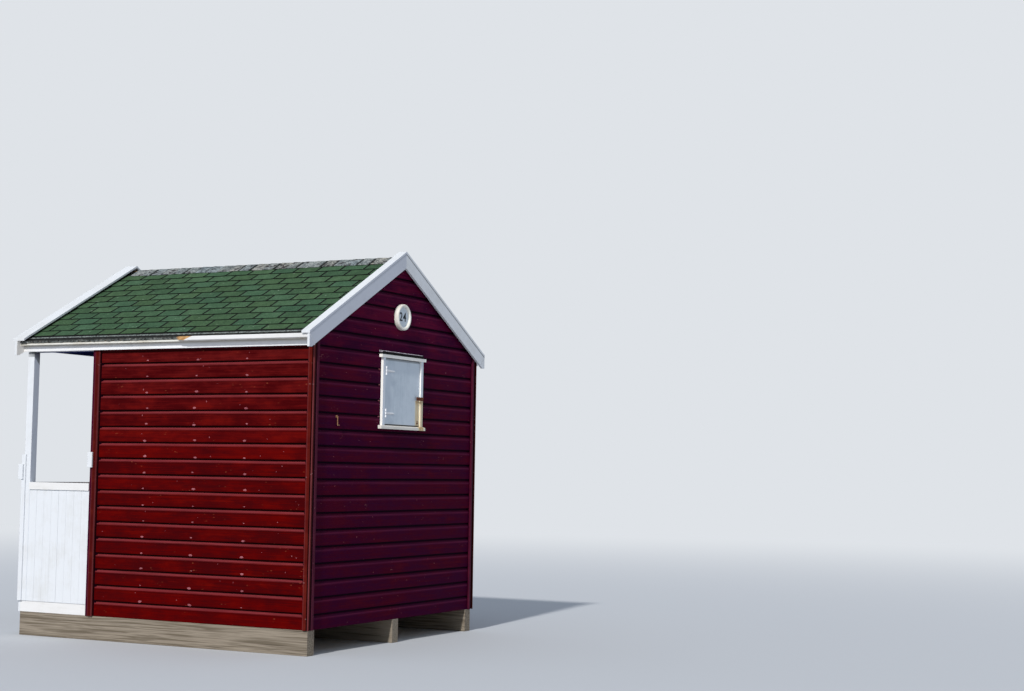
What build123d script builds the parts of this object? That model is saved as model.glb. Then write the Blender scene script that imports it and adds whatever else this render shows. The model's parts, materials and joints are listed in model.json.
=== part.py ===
from build123d import *
import math
import os

# Timber beach hut: one boarded room, an open porch at the front under the same
# shingled roof, standing on skids. X runs across the hut and is zero under the
# ridge, Y runs from the porch (-Y) to the rear gable (+Y), Z is up from the
# ground. Right and left are those of a person who faces the porch.

# Plan, over the corner boards
hut_width = 2740.0
room_length = 2303.0
porch_depth = 748.0

# Walls
wall_t = 75.0
wall_height = 2333.0
corner_t = 20.0
rear_corner_side_w = 61.0
front_corner_side_w = 75.0
corner_gable_w = 80.0

# Ground frame and floor
skid_w = 100.0
skid_h = 204.0
joist_t = 47.0
joist_h = 74.0
joist_pitch = 450.0
floor_t = 22.0
rim_t = 22.0

# Roof
roof_pitch = 28.8
rafter_t = 45.0
rafter_depth = 90.0
rafter_spacing = 600.0
tail_lift = 10.0
ridge_t = 24.0
ridge_depth = 130.0
deck_t = 18.0
shingle_t = 8.0
ridge_cap_t = 6.0
ridge_cap_w = 125.0
ridge_cap_gap = 42.0

# Eaves
eaves_reach = 20.0
roof_reach = 44.0
fascia_t = 20.0
fascia_h = 91.0
eaves_batten_w = 25.0
eaves_batten_h = 14.0
drip_t = 28.0
drip_h = 34.0
drip_drop = 8.0
drip_left_on = 1319.0
drip_splinter = 90.0

# Barge boards and their capping
barge_reach = 46.0
rear_barge_depth = 113.0
front_barge_depth = 124.0
rear_barge_t = 21.0
front_barge_t = 27.0
cap_t = 18.0
cap_upstand = 35.0
rear_cap_w = 82.0
front_cap_w = 129.0
rear_cap_nose = 2.0
front_cap_nose = 23.0
rear_foot_level = 38.0
front_foot_level = 31.0

# Porch
post_w = 70.0
post_l = 71.0
post_inset = 10.0
porch_beam_h = 55.0
tie_beam_t = 24.0
tie_beam_h = 84.0
rail_top_above_deck = 1036.0
side_rail_h = 64.0
side_rail_t = 50.0
front_rail_h = 60.0
front_rail_t = 37.0
panel_t = 20.0
panel_gap = 12.0
bottom_rail_h = 70.0
entrance_width = 900.0
newel_w = 60.0

# Doors
door_opening_w = 1320.0
door_opening_h = 1950.0
door_jamb_t = 45.0
door_architrave_t = 20.0
door_architrave_w = 70.0
threshold_h = 20.0
door_leaf_t = 40.0
door_gap = 3.0
door_strap_l = 400.0
door_hinge_inset = 250.0

# Rear window hatch
hatch_centre_x = -18.0
hatch_jamb_w = 38.0
hatch_jamb_t = 24.0
hatch_clear_w = 605.0
hatch_clear_h = 584.0
hatch_above_floor = 1574.0
hatch_rebate = 22.0
hatch_horn = 33.0
hatch_head_h = 27.0
hatch_head_t = 33.0
drip_board_h = 34.0
drip_board_t = 38.0
drip_board_lip = 20.0
drip_board_short = 57.0
hatch_sill_h = 31.0
hatch_sill_t = 36.0
sill_fall = 8.0
shutter_t = 9.0
shutter_gap = 3.0
hatch_strap_l = 165.0
hatch_strap_h = 26.0
hatch_root_h = 80.0
hatch_root_l = 38.0
hatch_hinge_low = 102.0
hatch_hinge_high = 110.0
hasp_l = 110.0
hasp_h = 32.0
hasp_t = 4.0
hasp_above_sill = 250.0
staple_d = 8.0
staple_reach = 16.0

# Tee hinges and their pins
hinge_strap_h = 30.0
hinge_plate_w = 28.0
hinge_plate_h = 95.0
hinge_t = 3.0
hinge_pin_d = 9.0
hinge_pin_bite = 1.0

# Number plaque and hook on the rear gable
plaque_d = 230.0
plaque_t = 42.0
plaque_rim_w = 25.0
plaque_recess = 23.0
plaque_x = 9.0
plaque_above_hatch = 194.0
hook_from_corner = 370.0
hook_above_floor = 1622.0
hook_l = 70.0
hook_d = 8.0
hook_plate = 26.0

# Battens and cleats that hold storm boards in the porch's sides and front
post_batten_w = 44.0
post_batten_t = 12.0
post_batten_above_rail = 243.0
cleat_t = 15.0
post_cleat_w = 50.0
post_cleat_h = 132.0
post_cleat_above_rail = 25.0
post_cleat_lap = 26.0
wall_cleat_w = 49.0
wall_cleat_h = 132.0
wall_cleat_above_rail = 137.0
wall_cleat_overhang = 10.0

# Slope of the roof: fall for each unit across, and plumb depth of a layer
fall = math.tan(math.radians(roof_pitch))
plumb = 1.0 / math.cos(math.radians(roof_pitch))

# Places along the hut, from the rear capping to the front one
overall_length = (
    rear_cap_nose + rear_barge_t + room_length + porch_depth
    + tie_beam_t + front_barge_t + front_cap_nose
)
rear_end = overall_length / 2
rear_barge_face = rear_end - rear_cap_nose
rear_face = rear_barge_face - rear_barge_t
rear_boards = rear_face - corner_t
rear_inside = rear_boards - wall_t
front_face = rear_face - room_length
front_boards = front_face + corner_t
front_inside = front_boards + wall_t
post_front = front_face - porch_depth
post_back = post_front + post_l
porch_gable_face = post_front - tie_beam_t
front_barge_face = porch_gable_face - front_barge_t
front_end = front_barge_face - front_cap_nose

# Places across the hut
corner_x = hut_width / 2
boards_x = corner_x - corner_t
inside_x = boards_x - wall_t
fascia_x = corner_x + eaves_reach
fascia_back_x = fascia_x - fascia_t
edge_x = fascia_x + roof_reach
foot_x = edge_x + barge_reach
post_x = corner_x - post_inset

# Heights
wall_base = skid_h
wall_top = wall_base + wall_height
floor_top = skid_h + joist_h + floor_t
rail_top = floor_top + rail_top_above_deck
roof_build = shingle_t + deck_t
deck_under_zero = wall_top + fall * inside_x + rafter_depth * plumb
shingle_ridge = deck_under_zero + roof_build * plumb
fascia_top = deck_under_zero - fall * fascia_x
fascia_bottom = fascia_top - fascia_h


def roof_z(x, depth):
    """Height of the layer that lies depth below the shingles' face, at x."""
    return shingle_ridge - fall * abs(x) - depth * plumb


def block(x_from, x_to, y_from, y_to, z_from, z_to):
    """Squared timber between two corners."""
    size = Box(x_to - x_from, y_to - y_from, z_to - z_from)
    middle = ((x_from + x_to) / 2, (y_from + y_to) / 2, (z_from + z_to) / 2)
    return Pos(*middle) * size


def along_y(outline, y_from, y_to):
    """Timber of one section, given as (x, z) points, running along the hut."""
    ring = Polyline(*[(x, y_from, z) for x, z in outline], close=True)
    return extrude(make_face(ring), amount=y_to - y_from, dir=(0, 1, 0))


def along_x(outline, x_from, x_to):
    """Timber of one section, given as (y, z) points, running across the hut."""
    ring = Polyline(*[(x_from, y, z) for y, z in outline], close=True)
    return extrude(make_face(ring), amount=x_to - x_from, dir=(1, 0, 0))


def along_z(outline, z_from, z_to):
    """Upright timber of one section, given as (x, y) points."""
    ring = Polyline(*[(x, y, z_from) for x, y in outline], close=True)
    return extrude(make_face(ring), amount=z_to - z_from, dir=(0, 0, 1))


def slope_board(x_from, x_to, top, bottom, y_from, y_to):
    """Board that lies in the right slope, plumb cut at both ends."""
    outline = [
        (x_from, roof_z(x_from, top)),
        (x_to, roof_z(x_to, top)),
        (x_to, roof_z(x_to, bottom)),
        (x_from, roof_z(x_from, bottom)),
    ]
    return along_y(outline, y_from, y_to)


def mirrored(shape):
    """The same piece on the left-hand side."""
    return mirror(shape, about=Plane.YZ)


def both_sides(*shapes):
    """A right-hand piece and its mirror image, as two solids."""
    return list(shapes) + [mirrored(shape) for shape in shapes]


def save(node, *shapes):
    """Write one node, as one solid or as several that don't touch."""
    solids = [solid for shape in shapes for solid in shape.solids()]
    piece = solids[0] if len(solids) == 1 else Compound(solids)
    export_step(piece, os.path.join("parts", node + ".step"))


def spread(start, end, width, pitch):
    """First faces of equal members, the outer two against start and end."""
    bays = max(1, math.ceil((end - start - width) / pitch))
    step = (end - start - width) / bays
    return [start + step * index for index in range(bays + 1)]


# Ground frame
porch_inside_x = boards_x - rim_t


def make_skids():
    """Two skids under the side walls and one down the middle."""
    side = block(boards_x - skid_w, boards_x, post_front, rear_boards, 0, skid_h)
    middle = block(-skid_w / 2, skid_w / 2, post_front, rear_boards, 0, skid_h)
    save("skids", middle, *both_sides(side))


def make_joists():
    """Joists across the skids, between the walls and out to the porch edge."""
    z_top = skid_h + joist_h
    joists = []
    for y in spread(front_inside, rear_inside, joist_t, joist_pitch):
        joists.append(block(-inside_x, inside_x, y, y + joist_t, skid_h, z_top))
    for y in spread(post_front, front_face, joist_t, joist_pitch):
        joists.append(block(-porch_inside_x, porch_inside_x, y, y + joist_t, skid_h, z_top))
    save("floor_joists", *joists)


def make_floors():
    """Boarded floors of the room and the porch, with the rims that close the porch's edge."""
    z_from = skid_h + joist_h
    save("room_floor", block(-inside_x, inside_x, front_inside, rear_inside, z_from, floor_top))
    save("porch_floor", block(-porch_inside_x, porch_inside_x, post_front, front_face, z_from, floor_top))
    save("porch_rim", block(-boards_x, boards_x, post_front - rim_t, post_front, skid_h, floor_top))
    side = block(porch_inside_x, boards_x, post_front, front_face, skid_h, floor_top)
    save("porch_side_rims", *both_sides(side))


# Walls
def make_side_walls():
    """Side walls, which run past the ends of the gable walls."""
    right = block(inside_x, boards_x, front_boards, rear_boards, wall_base, wall_top)
    save("right_wall", right)
    save("left_wall", mirrored(right))


def gable_wall(y_from, y_to):
    """Whole end wall up to the roof boards, out over the tops of the side walls."""
    outline = [
        (-inside_x, wall_base),
        (inside_x, wall_base),
        (inside_x, wall_top),
        (boards_x, wall_top),
        (boards_x, roof_z(boards_x, roof_build)),
        (0, roof_z(0, roof_build)),
        (-boards_x, roof_z(boards_x, roof_build)),
        (-boards_x, wall_top),
        (-inside_x, wall_top),
    ]
    return along_y(outline, y_from, y_to)


hatch_low = floor_top + hatch_above_floor
hatch_high = hatch_low + hatch_clear_h
hatch_right_x = hatch_centre_x + hatch_clear_w / 2
hatch_left_x = hatch_centre_x - hatch_clear_w / 2
jamb_face = rear_boards + hatch_jamb_t
shutter_face = rear_boards + shutter_t


def make_rear_wall():
    """Rear wall in four panels round the window opening behind the hatch."""
    wall = gable_wall(rear_inside, rear_boards)
    x_high = hatch_right_x - hatch_rebate
    x_low = hatch_left_x + hatch_rebate
    z_low = hatch_low + hatch_rebate
    z_high = hatch_high - hatch_rebate
    far = hut_width
    save("rear_wall_right", wall & block(x_high, far, rear_inside, rear_boards, wall_base, z_high))
    save("rear_wall_left", wall & block(-far, x_low, rear_inside, rear_boards, wall_base, z_high))
    save("rear_wall_under_hatch", wall & block(x_low, x_high, rear_inside, rear_boards, wall_base, z_low))
    save("rear_gable", wall & block(-far, far, rear_inside, rear_boards, z_high, shingle_ridge))


door_half = door_opening_w / 2
door_head_z = floor_top + door_opening_h


def make_front_wall():
    """Front wall, split beside and over the doorway."""
    wall = gable_wall(front_boards, front_inside)
    far = hut_width
    right = wall & block(door_half, far, front_boards, front_inside, wall_base, door_head_z)
    save("front_wall", *both_sides(right))
    save("front_gable", wall & block(-far, far, front_boards, front_inside, door_head_z, shingle_ridge))


def make_corner_boards():
    """Angle of two boards round each corner, square topped under the roof boards."""
    z_top = roof_z(corner_x, roof_build)
    ends = (
        ("rear", rear_face, -1, rear_corner_side_w),
        ("front", front_face, 1, front_corner_side_w),
    )
    for end, face, inward, side_w in ends:
        boards = face + inward * corner_t
        side_end = face + inward * side_w
        outline = [
            (corner_x, face),
            (corner_x, side_end),
            (boards_x, side_end),
            (boards_x, boards),
            (corner_x - corner_gable_w, boards),
            (corner_x - corner_gable_w, face),
        ]
        right = along_z(outline, wall_base, z_top)
        save(end + "_corner_boards", *both_sides(right))


# Doors
def tee_hinge(joint_x, face, outward, height, strap_l):
    """Plate on the jamb, knuckle at the joint, tapered strap towards the middle."""
    plate = block(
        joint_x, joint_x + hinge_plate_w,
        min(face, face + outward * hinge_t), max(face, face + outward * hinge_t),
        height - hinge_plate_h / 2, height + hinge_plate_h / 2,
    )
    knuckle = Pos(joint_x, face + outward * hinge_pin_d / 2, height)
    pin = knuckle * Cylinder(hinge_pin_d / 2, hinge_plate_h)
    wide = hinge_strap_h / 2
    narrow = wide / 2
    tip = joint_x - strap_l
    outline = [
        (joint_x, height + wide),
        (tip, height + narrow),
        (tip - narrow, height),
        (tip, height - narrow),
        (joint_x, height - wide),
    ]
    strap = along_y(outline, min(face, face + outward * hinge_t), max(face, face + outward * hinge_t))
    return plate + pin + strap


def make_doors():
    """Door frame with its architrave, a threshold and a pair of leaves."""
    jamb_x = door_half - door_jamb_t
    head_under = door_head_z - door_jamb_t
    trim_x = door_half + door_architrave_w - door_jamb_t
    trim_front = front_boards - door_architrave_t
    lining = block(jamb_x, door_half, front_boards, front_inside, floor_top, door_head_z)
    trim = block(jamb_x, trim_x, trim_front, front_boards, floor_top, head_under)
    save("door_jambs", *both_sides(lining + trim))
    head = block(-jamb_x, jamb_x, front_boards, front_inside, head_under, door_head_z)
    head_trim = block(-trim_x, trim_x, trim_front, front_boards, head_under, head_under + door_architrave_w)
    save("door_head", head + head_trim)
    sill_top = floor_top + threshold_h
    save("door_threshold", block(-jamb_x, jamb_x, front_boards, front_inside, floor_top, sill_top))
    leaf_low = sill_top + door_gap
    leaf_high = head_under - door_gap
    leaf_back = trim_front + door_leaf_t
    leaf = block(door_gap / 2, jamb_x - door_gap, trim_front, leaf_back, leaf_low, leaf_high)
    save("right_door", leaf)
    save("left_door", mirrored(leaf))
    hinges = []
    for height in (leaf_low + door_hinge_inset, (leaf_low + leaf_high) / 2, leaf_high - door_hinge_inset):
        hinges.append(tee_hinge(jamb_x, trim_front, -1, height, door_strap_l))
    save("door_hinges", *both_sides(*hinges))


# Roof
def make_ridge_board():
    """Ridge board in two lengths, one over the porch and one over the room."""
    half = ridge_t / 2
    top = roof_z(half, roof_build)
    porch = block(-half, half, post_front, front_boards, top - ridge_depth, top)
    room = block(-half, half, front_inside, rear_inside, top - ridge_depth, top)
    save("ridge_board", porch, room)


def rafter(y_from):
    """Right rafter, seated on the wall top by a birdsmouth, with a level-cut tail."""
    y_to = y_from + rafter_t
    under = roof_build + rafter_depth
    timber = slope_board(ridge_t / 2, fascia_back_x, roof_build, under, y_from, y_to)
    deep = 2 * rafter_depth
    birdsmouth = block(inside_x, boards_x, y_from, y_to, wall_top - deep, wall_top)
    tail_z = fascia_bottom + tail_lift
    tail = block(boards_x, fascia_x, y_from, y_to, tail_z - deep, tail_z)
    return timber - birdsmouth - tail


def make_rafters():
    """Rafter pairs over the porch and the room."""
    places = spread(post_front, front_face, rafter_t, rafter_spacing)
    places += spread(front_inside, rear_inside, rafter_t, rafter_spacing)
    save("rafters", *both_sides(*[rafter(y) for y in places]))


def make_roof_skin():
    """Roof boards, shingles and the bent ridge capping."""
    boards = slope_board(0, edge_x, shingle_t, roof_build, porch_gable_face, rear_face)
    save("right_roof_boards", boards)
    save("left_roof_boards", mirrored(boards))
    shingles = slope_board(0, edge_x, 0, shingle_t, porch_gable_face, rear_face)
    save("right_shingles", shingles)
    save("left_shingles", mirrored(shingles))
    reach = ridge_cap_w / plumb
    lift = ridge_cap_t * plumb
    outline = [
        (0, shingle_ridge + lift),
        (reach, roof_z(reach, 0) + lift),
        (reach, roof_z(reach, 0)),
        (0, shingle_ridge),
        (-reach, roof_z(reach, 0)),
        (-reach, roof_z(reach, 0) + lift),
    ]
    cap_front = front_end + front_cap_w + ridge_cap_gap
    save("ridge_capping", along_y(outline, cap_front, rear_end - rear_cap_w))


cap_lift = cap_t - cap_upstand


def make_barge_boards():
    """Barge boards, mitred at the ridge, plumb and level cut at the foot."""
    ends = (
        ("rear", rear_face, rear_barge_face, rear_barge_depth, rear_foot_level),
        ("front", front_barge_face, porch_gable_face, front_barge_depth, front_foot_level),
    )
    for end, y_from, y_to, depth, level in ends:
        low_edge = cap_lift + depth
        board = slope_board(0, foot_x, cap_lift, low_edge, y_from, y_to)
        foot_z = roof_z(foot_x - level, low_edge)
        below = block(foot_x - 2 * level, 2 * foot_x, y_from, y_to, foot_z - 2 * depth, foot_z)
        board = board - below
        save(end + "_right_barge", board)
        save(end + "_left_barge", mirrored(board))


def make_barge_caps():
    """Flat capping on the top edge of each barge board, over the shingles' edge."""
    ends = (
        ("rear", rear_end - rear_cap_w, rear_end),
        ("front", front_end, front_end + front_cap_w),
    )
    for end, y_from, y_to in ends:
        cap = slope_board(0, foot_x, -cap_upstand, cap_lift, y_from, y_to)
        save(end + "_right_barge_cap", cap)
        save(end + "_left_barge_cap", mirrored(cap))


def make_eaves():
    """Fascia boards, battens under the roof's edge, and drip strips nailed to it."""
    fascia = block(fascia_back_x, fascia_x, porch_gable_face, rear_face, fascia_bottom, fascia_top)
    save("fascia_boards", *both_sides(fascia))
    batten_x = edge_x - eaves_batten_w
    edge_under = roof_z(edge_x, roof_build)
    outline = [
        (batten_x, roof_z(batten_x, roof_build)),
        (edge_x, edge_under),
        (edge_x, edge_under - eaves_batten_h),
        (batten_x, edge_under - eaves_batten_h),
    ]
    save("eaves_battens", *both_sides(along_y(outline, porch_gable_face, rear_face)))
    strip_low = edge_under - drip_drop
    strip_high = strip_low + drip_h
    strip_x = edge_x + drip_t
    broken = rear_face - drip_left_on
    # The right strip has snapped: its lower half runs on to a splintered point.
    outline = [
        (broken, strip_high),
        (rear_face, strip_high),
        (rear_face, strip_low),
        (broken - drip_splinter, strip_low),
        (broken - drip_splinter / 3, strip_low + drip_h / 2),
    ]
    right = along_x(outline, edge_x, strip_x)
    left = block(-strip_x, -edge_x, porch_gable_face, rear_face, strip_low, strip_high)
    save("drip_strips", right, left)


# Porch
def make_porch_frame():
    """Posts, the beams that they carry, the tie beam and the boarded gable."""
    beam_under = wall_top - porch_beam_h
    post = block(post_x - post_w, post_x, post_front, post_back, floor_top, beam_under)
    save("porch_posts", *both_sides(post))
    beam = block(inside_x, boards_x, post_front, front_face, beam_under, wall_top)
    save("porch_beams", *both_sides(beam))
    tie_top = roof_z(corner_x, roof_build)
    tie_low = tie_top - tie_beam_h
    save("tie_beam", block(-corner_x, corner_x, porch_gable_face, post_front, tie_low, tie_top))
    outline = [(-corner_x, tie_top), (corner_x, tie_top), (0, roof_z(0, roof_build))]
    save("porch_gable", along_y(outline, porch_gable_face, post_front))


def make_porch_rails():
    """Rails from the posts to the room, and from the posts to the way in."""
    way = entrance_width / 2
    side_low = rail_top - side_rail_h
    side = block(corner_x - side_rail_t, corner_x, post_back, front_face, side_low, rail_top)
    front_low = rail_top - front_rail_h
    front = block(way, boards_x, post_front - front_rail_t, post_front, front_low, rail_top)
    panel_back = corner_x - panel_gap - panel_t
    foot_top = floor_top + bottom_rail_h
    foot = block(corner_x - side_rail_t, panel_back, post_back, front_face, floor_top, foot_top)
    save("porch_rails", *both_sides(side, front, foot))
    newel = block(way, way + newel_w, post_front, post_back, floor_top, front_low)
    save("newels", *both_sides(newel))


def make_porch_panels():
    """Boarded panels under the side rails and the front rails."""
    panel_x = corner_x - panel_gap
    side_top = rail_top - side_rail_h
    side = block(panel_x - panel_t, panel_x, post_back, front_face, floor_top, side_top)
    save("side_panels", *both_sides(side))
    way = entrance_width / 2
    front_top = rail_top - front_rail_h
    front = block(way, boards_x, post_front - panel_t, post_front, floor_top, front_top)
    save("front_panels", *both_sides(front))


def make_cleats():
    """Upright battens up the sides of the porch posts, and cleats that take storm boards."""
    batten_front = post_front - panel_t
    batten_back = batten_front + post_batten_w
    batten_top = rail_top + post_batten_above_rail
    batten_face = post_x + post_batten_t
    batten = block(post_x, batten_face, batten_front, batten_back, floor_top, batten_top)
    cleat_z = rail_top + post_cleat_above_rail
    cleat_back = batten_front + post_cleat_lap
    cleat_front = cleat_back - post_cleat_w
    cleat_face = batten_face + cleat_t
    on_batten = block(batten_face, cleat_face, cleat_front, cleat_back, cleat_z, cleat_z + post_cleat_h)
    wall_face = corner_x + cleat_t
    wall_z = rail_top + wall_cleat_above_rail
    wall_y = front_face - wall_cleat_overhang
    on_wall = block(corner_x, wall_face, wall_y, wall_y + wall_cleat_w, wall_z, wall_z + wall_cleat_h)
    save("post_battens", *both_sides(batten))
    save("storm_board_cleats", *both_sides(on_batten, on_wall))


# Rear hatch
drip_board_top = hatch_high + hatch_head_h + drip_board_h


def make_hatch_surround():
    """Jambs, head board with its drip board, and a weathered sill."""
    out_right = hatch_right_x + hatch_jamb_w
    out_left = hatch_left_x - hatch_jamb_w
    right = block(hatch_right_x, out_right, rear_boards, jamb_face, hatch_low, hatch_high)
    left = block(out_left, hatch_left_x, rear_boards, jamb_face, hatch_low, hatch_high)
    save("hatch_jambs", right, left)
    x_from = out_left - hatch_horn
    x_to = out_right + hatch_horn
    head_top = hatch_high + hatch_head_h
    save("hatch_head", block(x_from, x_to, rear_boards, rear_boards + hatch_head_t, hatch_high, head_top))
    drip_face = rear_boards + drip_board_t
    outline = [
        (rear_boards, head_top),
        (drip_face, head_top),
        (drip_face, head_top + drip_board_lip),
        (rear_boards, drip_board_top),
    ]
    save("hatch_drip_board", along_x(outline, x_from + drip_board_short, x_to))
    sill_face = rear_boards + hatch_sill_t
    outline = [
        (rear_boards, hatch_low),
        (jamb_face, hatch_low),
        (sill_face, hatch_low - sill_fall),
        (sill_face, hatch_low - hatch_sill_h),
        (rear_boards, hatch_low - hatch_sill_h),
    ]
    save("hatch_sill", along_x(outline, x_from, x_to))


def hatch_hinge(height):
    """Plate inside the jamb, knuckle, and a strap that flares out to its root."""
    low = height - hatch_root_h / 2
    plate = block(hatch_right_x - hinge_t, hatch_right_x, shutter_face, jamb_face, low, low + hatch_root_h)
    root = hatch_right_x - hinge_t
    pin_r = hinge_pin_d / 2
    knuckle = Pos(root - pin_r + hinge_pin_bite, shutter_face + pin_r + hinge_pin_bite, height)
    pin = knuckle * Cylinder(pin_r, hatch_root_h)
    neck = root - hatch_root_l
    tip = root - hatch_strap_l
    half = [
        (root, hatch_root_h / 2),
        (neck, hatch_strap_h / 2),
        (tip, hatch_strap_h / 4),
    ]
    outline = [(x, height + z) for x, z in half]
    outline.append((tip - hatch_strap_h / 4, height))
    outline += [(x, height - z) for x, z in reversed(half)]
    strap = along_y(outline, shutter_face, shutter_face + hinge_t)
    return plate + pin + strap


def make_shutter():
    """Shutter set back between the jambs, with its hinges, a hasp and a staple."""
    x_from = hatch_left_x + shutter_gap
    x_to = hatch_right_x - shutter_gap
    z_from = hatch_low + shutter_gap
    z_to = hatch_high - shutter_gap
    save("hatch_shutter", block(x_from, x_to, rear_boards, shutter_face, z_from, z_to))
    hinges = [hatch_hinge(z_from + hatch_hinge_low), hatch_hinge(z_to - hatch_hinge_high)]
    save("hatch_hinges", *hinges)
    save("hatch_hasp", hasp(hatch_low + hasp_above_sill))


def hasp(height):
    """Strap from the jamb out over the shutter, on a staple with a ring."""
    half = hasp_h / 2
    x_from = hatch_left_x - hatch_jamb_w
    strap_face = jamb_face + hasp_t
    strap = block(x_from, x_from + hasp_l, jamb_face, strap_face, height - half, height + half)
    staple_x = x_from + hasp_l * 3 / 4
    leg = block(
        staple_x - staple_d / 2, staple_x + staple_d / 2, shutter_face, jamb_face,
        height - staple_d / 2, height + staple_d / 2,
    )
    eye = Pos(staple_x, strap_face, height)
    ring = eye * Rot(0, 90, 0) * Torus(staple_reach / 2, staple_d / 4)
    buried = eye * Pos(0, -staple_reach, 0) * Box(staple_reach, 2 * staple_reach, 2 * staple_reach)
    return strap + leg + (ring - buried)


# Plaque and hook
def make_plaque():
    """Round number plaque: a sunk face inside a rounded rim, on the gable boards."""
    flat = Rot(-90, 0, 0)
    height = drip_board_top + plaque_above_hatch + plaque_d / 2
    place = Pos(plaque_x, rear_boards + plaque_t / 2, height)
    disc = place * flat * Cylinder(plaque_d / 2, plaque_t)
    front = Pos(plaque_x, rear_boards + plaque_t - plaque_recess / 2, height)
    sunk = front * flat * Cylinder(plaque_d / 2 - plaque_rim_w, plaque_recess)
    dish = disc - sunk
    rim_edges = dish.edges().filter_by(GeomType.CIRCLE).group_by(Axis.Y)[-1]
    save("number_plaque", fillet(rim_edges, plaque_rim_w * 0.45))


def make_hook():
    """Cabin hook that hangs from an eye on a small round plate."""
    flat = Rot(-90, 0, 0)
    hook_x = corner_x - hook_from_corner
    top = floor_top + hook_above_floor
    plate_t = hook_d / 2
    plate = Pos(hook_x, rear_boards + plate_t / 2, top) * flat * Cylinder(hook_plate / 2, plate_t)
    reach = rear_boards + plate_t + hook_d
    stem_y = (rear_boards + reach) / 2
    stem = Pos(hook_x, stem_y, top) * flat * Cylinder(hook_d / 2, reach - rear_boards)
    rod = Pos(hook_x, reach, top - hook_l / 2) * Cylinder(hook_d / 2, hook_l)
    knee = Pos(hook_x, reach, top) * Sphere(hook_d / 2)
    toe_l = 3 * hook_d
    toe_z = top - hook_l
    toe = Pos(hook_x - toe_l / 2, reach, toe_z) * Rot(0, 90, 0) * Cylinder(hook_d / 2, toe_l)
    bend = Pos(hook_x, reach, toe_z) * Sphere(hook_d / 2)
    save("cabin_hook", plate + stem + knee + rod + bend + toe)


make_skids()
make_joists()
make_floors()
make_side_walls()
make_rear_wall()
make_front_wall()
make_corner_boards()
make_doors()
make_ridge_board()
make_rafters()
make_roof_skin()
make_barge_boards()
make_barge_caps()
make_eaves()
make_porch_frame()
make_porch_rails()
make_porch_panels()
make_cleats()
make_hatch_surround()
make_shutter()
make_plaque()
make_hook()
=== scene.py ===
import json
import math
import random

import bmesh
import bpy
from mathutils import Matrix, Vector, noise


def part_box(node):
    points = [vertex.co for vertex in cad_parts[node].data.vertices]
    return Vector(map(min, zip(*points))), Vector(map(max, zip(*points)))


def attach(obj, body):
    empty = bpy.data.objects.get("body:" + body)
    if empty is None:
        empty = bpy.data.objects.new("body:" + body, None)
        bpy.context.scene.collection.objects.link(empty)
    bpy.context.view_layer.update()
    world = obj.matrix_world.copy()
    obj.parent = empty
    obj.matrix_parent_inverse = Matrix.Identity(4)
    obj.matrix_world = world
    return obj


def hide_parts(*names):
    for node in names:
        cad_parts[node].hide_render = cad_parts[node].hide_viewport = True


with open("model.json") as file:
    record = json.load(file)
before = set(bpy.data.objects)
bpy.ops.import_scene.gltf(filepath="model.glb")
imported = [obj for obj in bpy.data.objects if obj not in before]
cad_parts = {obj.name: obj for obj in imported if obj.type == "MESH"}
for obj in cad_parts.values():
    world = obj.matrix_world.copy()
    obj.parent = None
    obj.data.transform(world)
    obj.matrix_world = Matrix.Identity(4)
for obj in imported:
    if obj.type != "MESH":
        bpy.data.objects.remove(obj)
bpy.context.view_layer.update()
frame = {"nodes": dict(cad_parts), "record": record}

# Places of the walls and the roof, in metres, read from the frame

SIDE_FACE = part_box("right_wall")[1].x
SIDE_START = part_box("right_wall")[0].y
SIDE_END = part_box("right_wall")[1].y
WALL_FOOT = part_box("right_wall")[0].z
WALL_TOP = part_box("right_wall")[1].z
REAR_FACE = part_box("rear_wall_right")[1].y
FRONT_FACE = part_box("front_wall")[0].y
PORCH_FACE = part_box("porch_gable")[0].y
PORCH_GABLE_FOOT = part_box("porch_gable")[0].z
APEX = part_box("rear_gable")[1].z
DECK_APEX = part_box("right_roof_boards")[1].z
DECK_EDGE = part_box("right_roof_boards")[1].x
ROOF_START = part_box("right_roof_boards")[0].y
ROOF_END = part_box("right_roof_boards")[1].y
ROOF_PITCH = math.radians(28.8)
FALL = math.tan(ROOF_PITCH)
SLOPE_LENGTH = DECK_EDGE / math.cos(ROOF_PITCH)

# Shiplap, in metres

BOARD_COVER = 0.1357
UPPER_COVER = 0.1345  # on the gables, above the line that the boards are set out from
BOARD_THICK = 0.021
BOARD_FLAT = 0.100  # up to the cove
BOARD_LIP = 0.0115
BOARD_BOW = 0.0012
BOARD_SAG = 0.0022
BOARD_STEP = 0.16
JAMB_LAP = 0.04  # boards run behind the door's frame by this much, and over its head by the next
HEAD_LAP = 0.02
HATCH_LAP = 0.005
SIDE_LINE = 2.375  # a board's lower edge, which the others are set out from
GABLE_LINE = 2.364
STUD_FIRST = -0.165
STUD_PITCH = 0.519
REAR_BOARD_END = 1.294
SIDE_BOARD_START = -0.667
SIDE_BOARD_END = 1.487

# Felt shingles, in metres

COURSE = 0.135
EXPOSURE = 0.1294
LOWEST_BUTT = 1.5415  # lower edges of the first two courses, down the slope from the ridge
SECOND_BUTT = 1.4294
TAB_PITCH = 0.248
TAB_SLIT = 0.019
TAB_THICK = 0.004
TAB_BUTT = 0.0085
NARROWEST_TAB = 0.015
TABS_BEFORE = 7
# One slit of each course, as a place along the hut, from the eaves up
SLIT_LINES = (0.014, -0.121, 0.028, -0.096, 0.035, -0.084, 0.034, -0.101, 0.038, -0.094, 0.036)
CAP_EXPOSURE = 0.128
CAP_LENGTH = 0.2
CAP_REACH = 0.158

# Fittings, in metres

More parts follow.
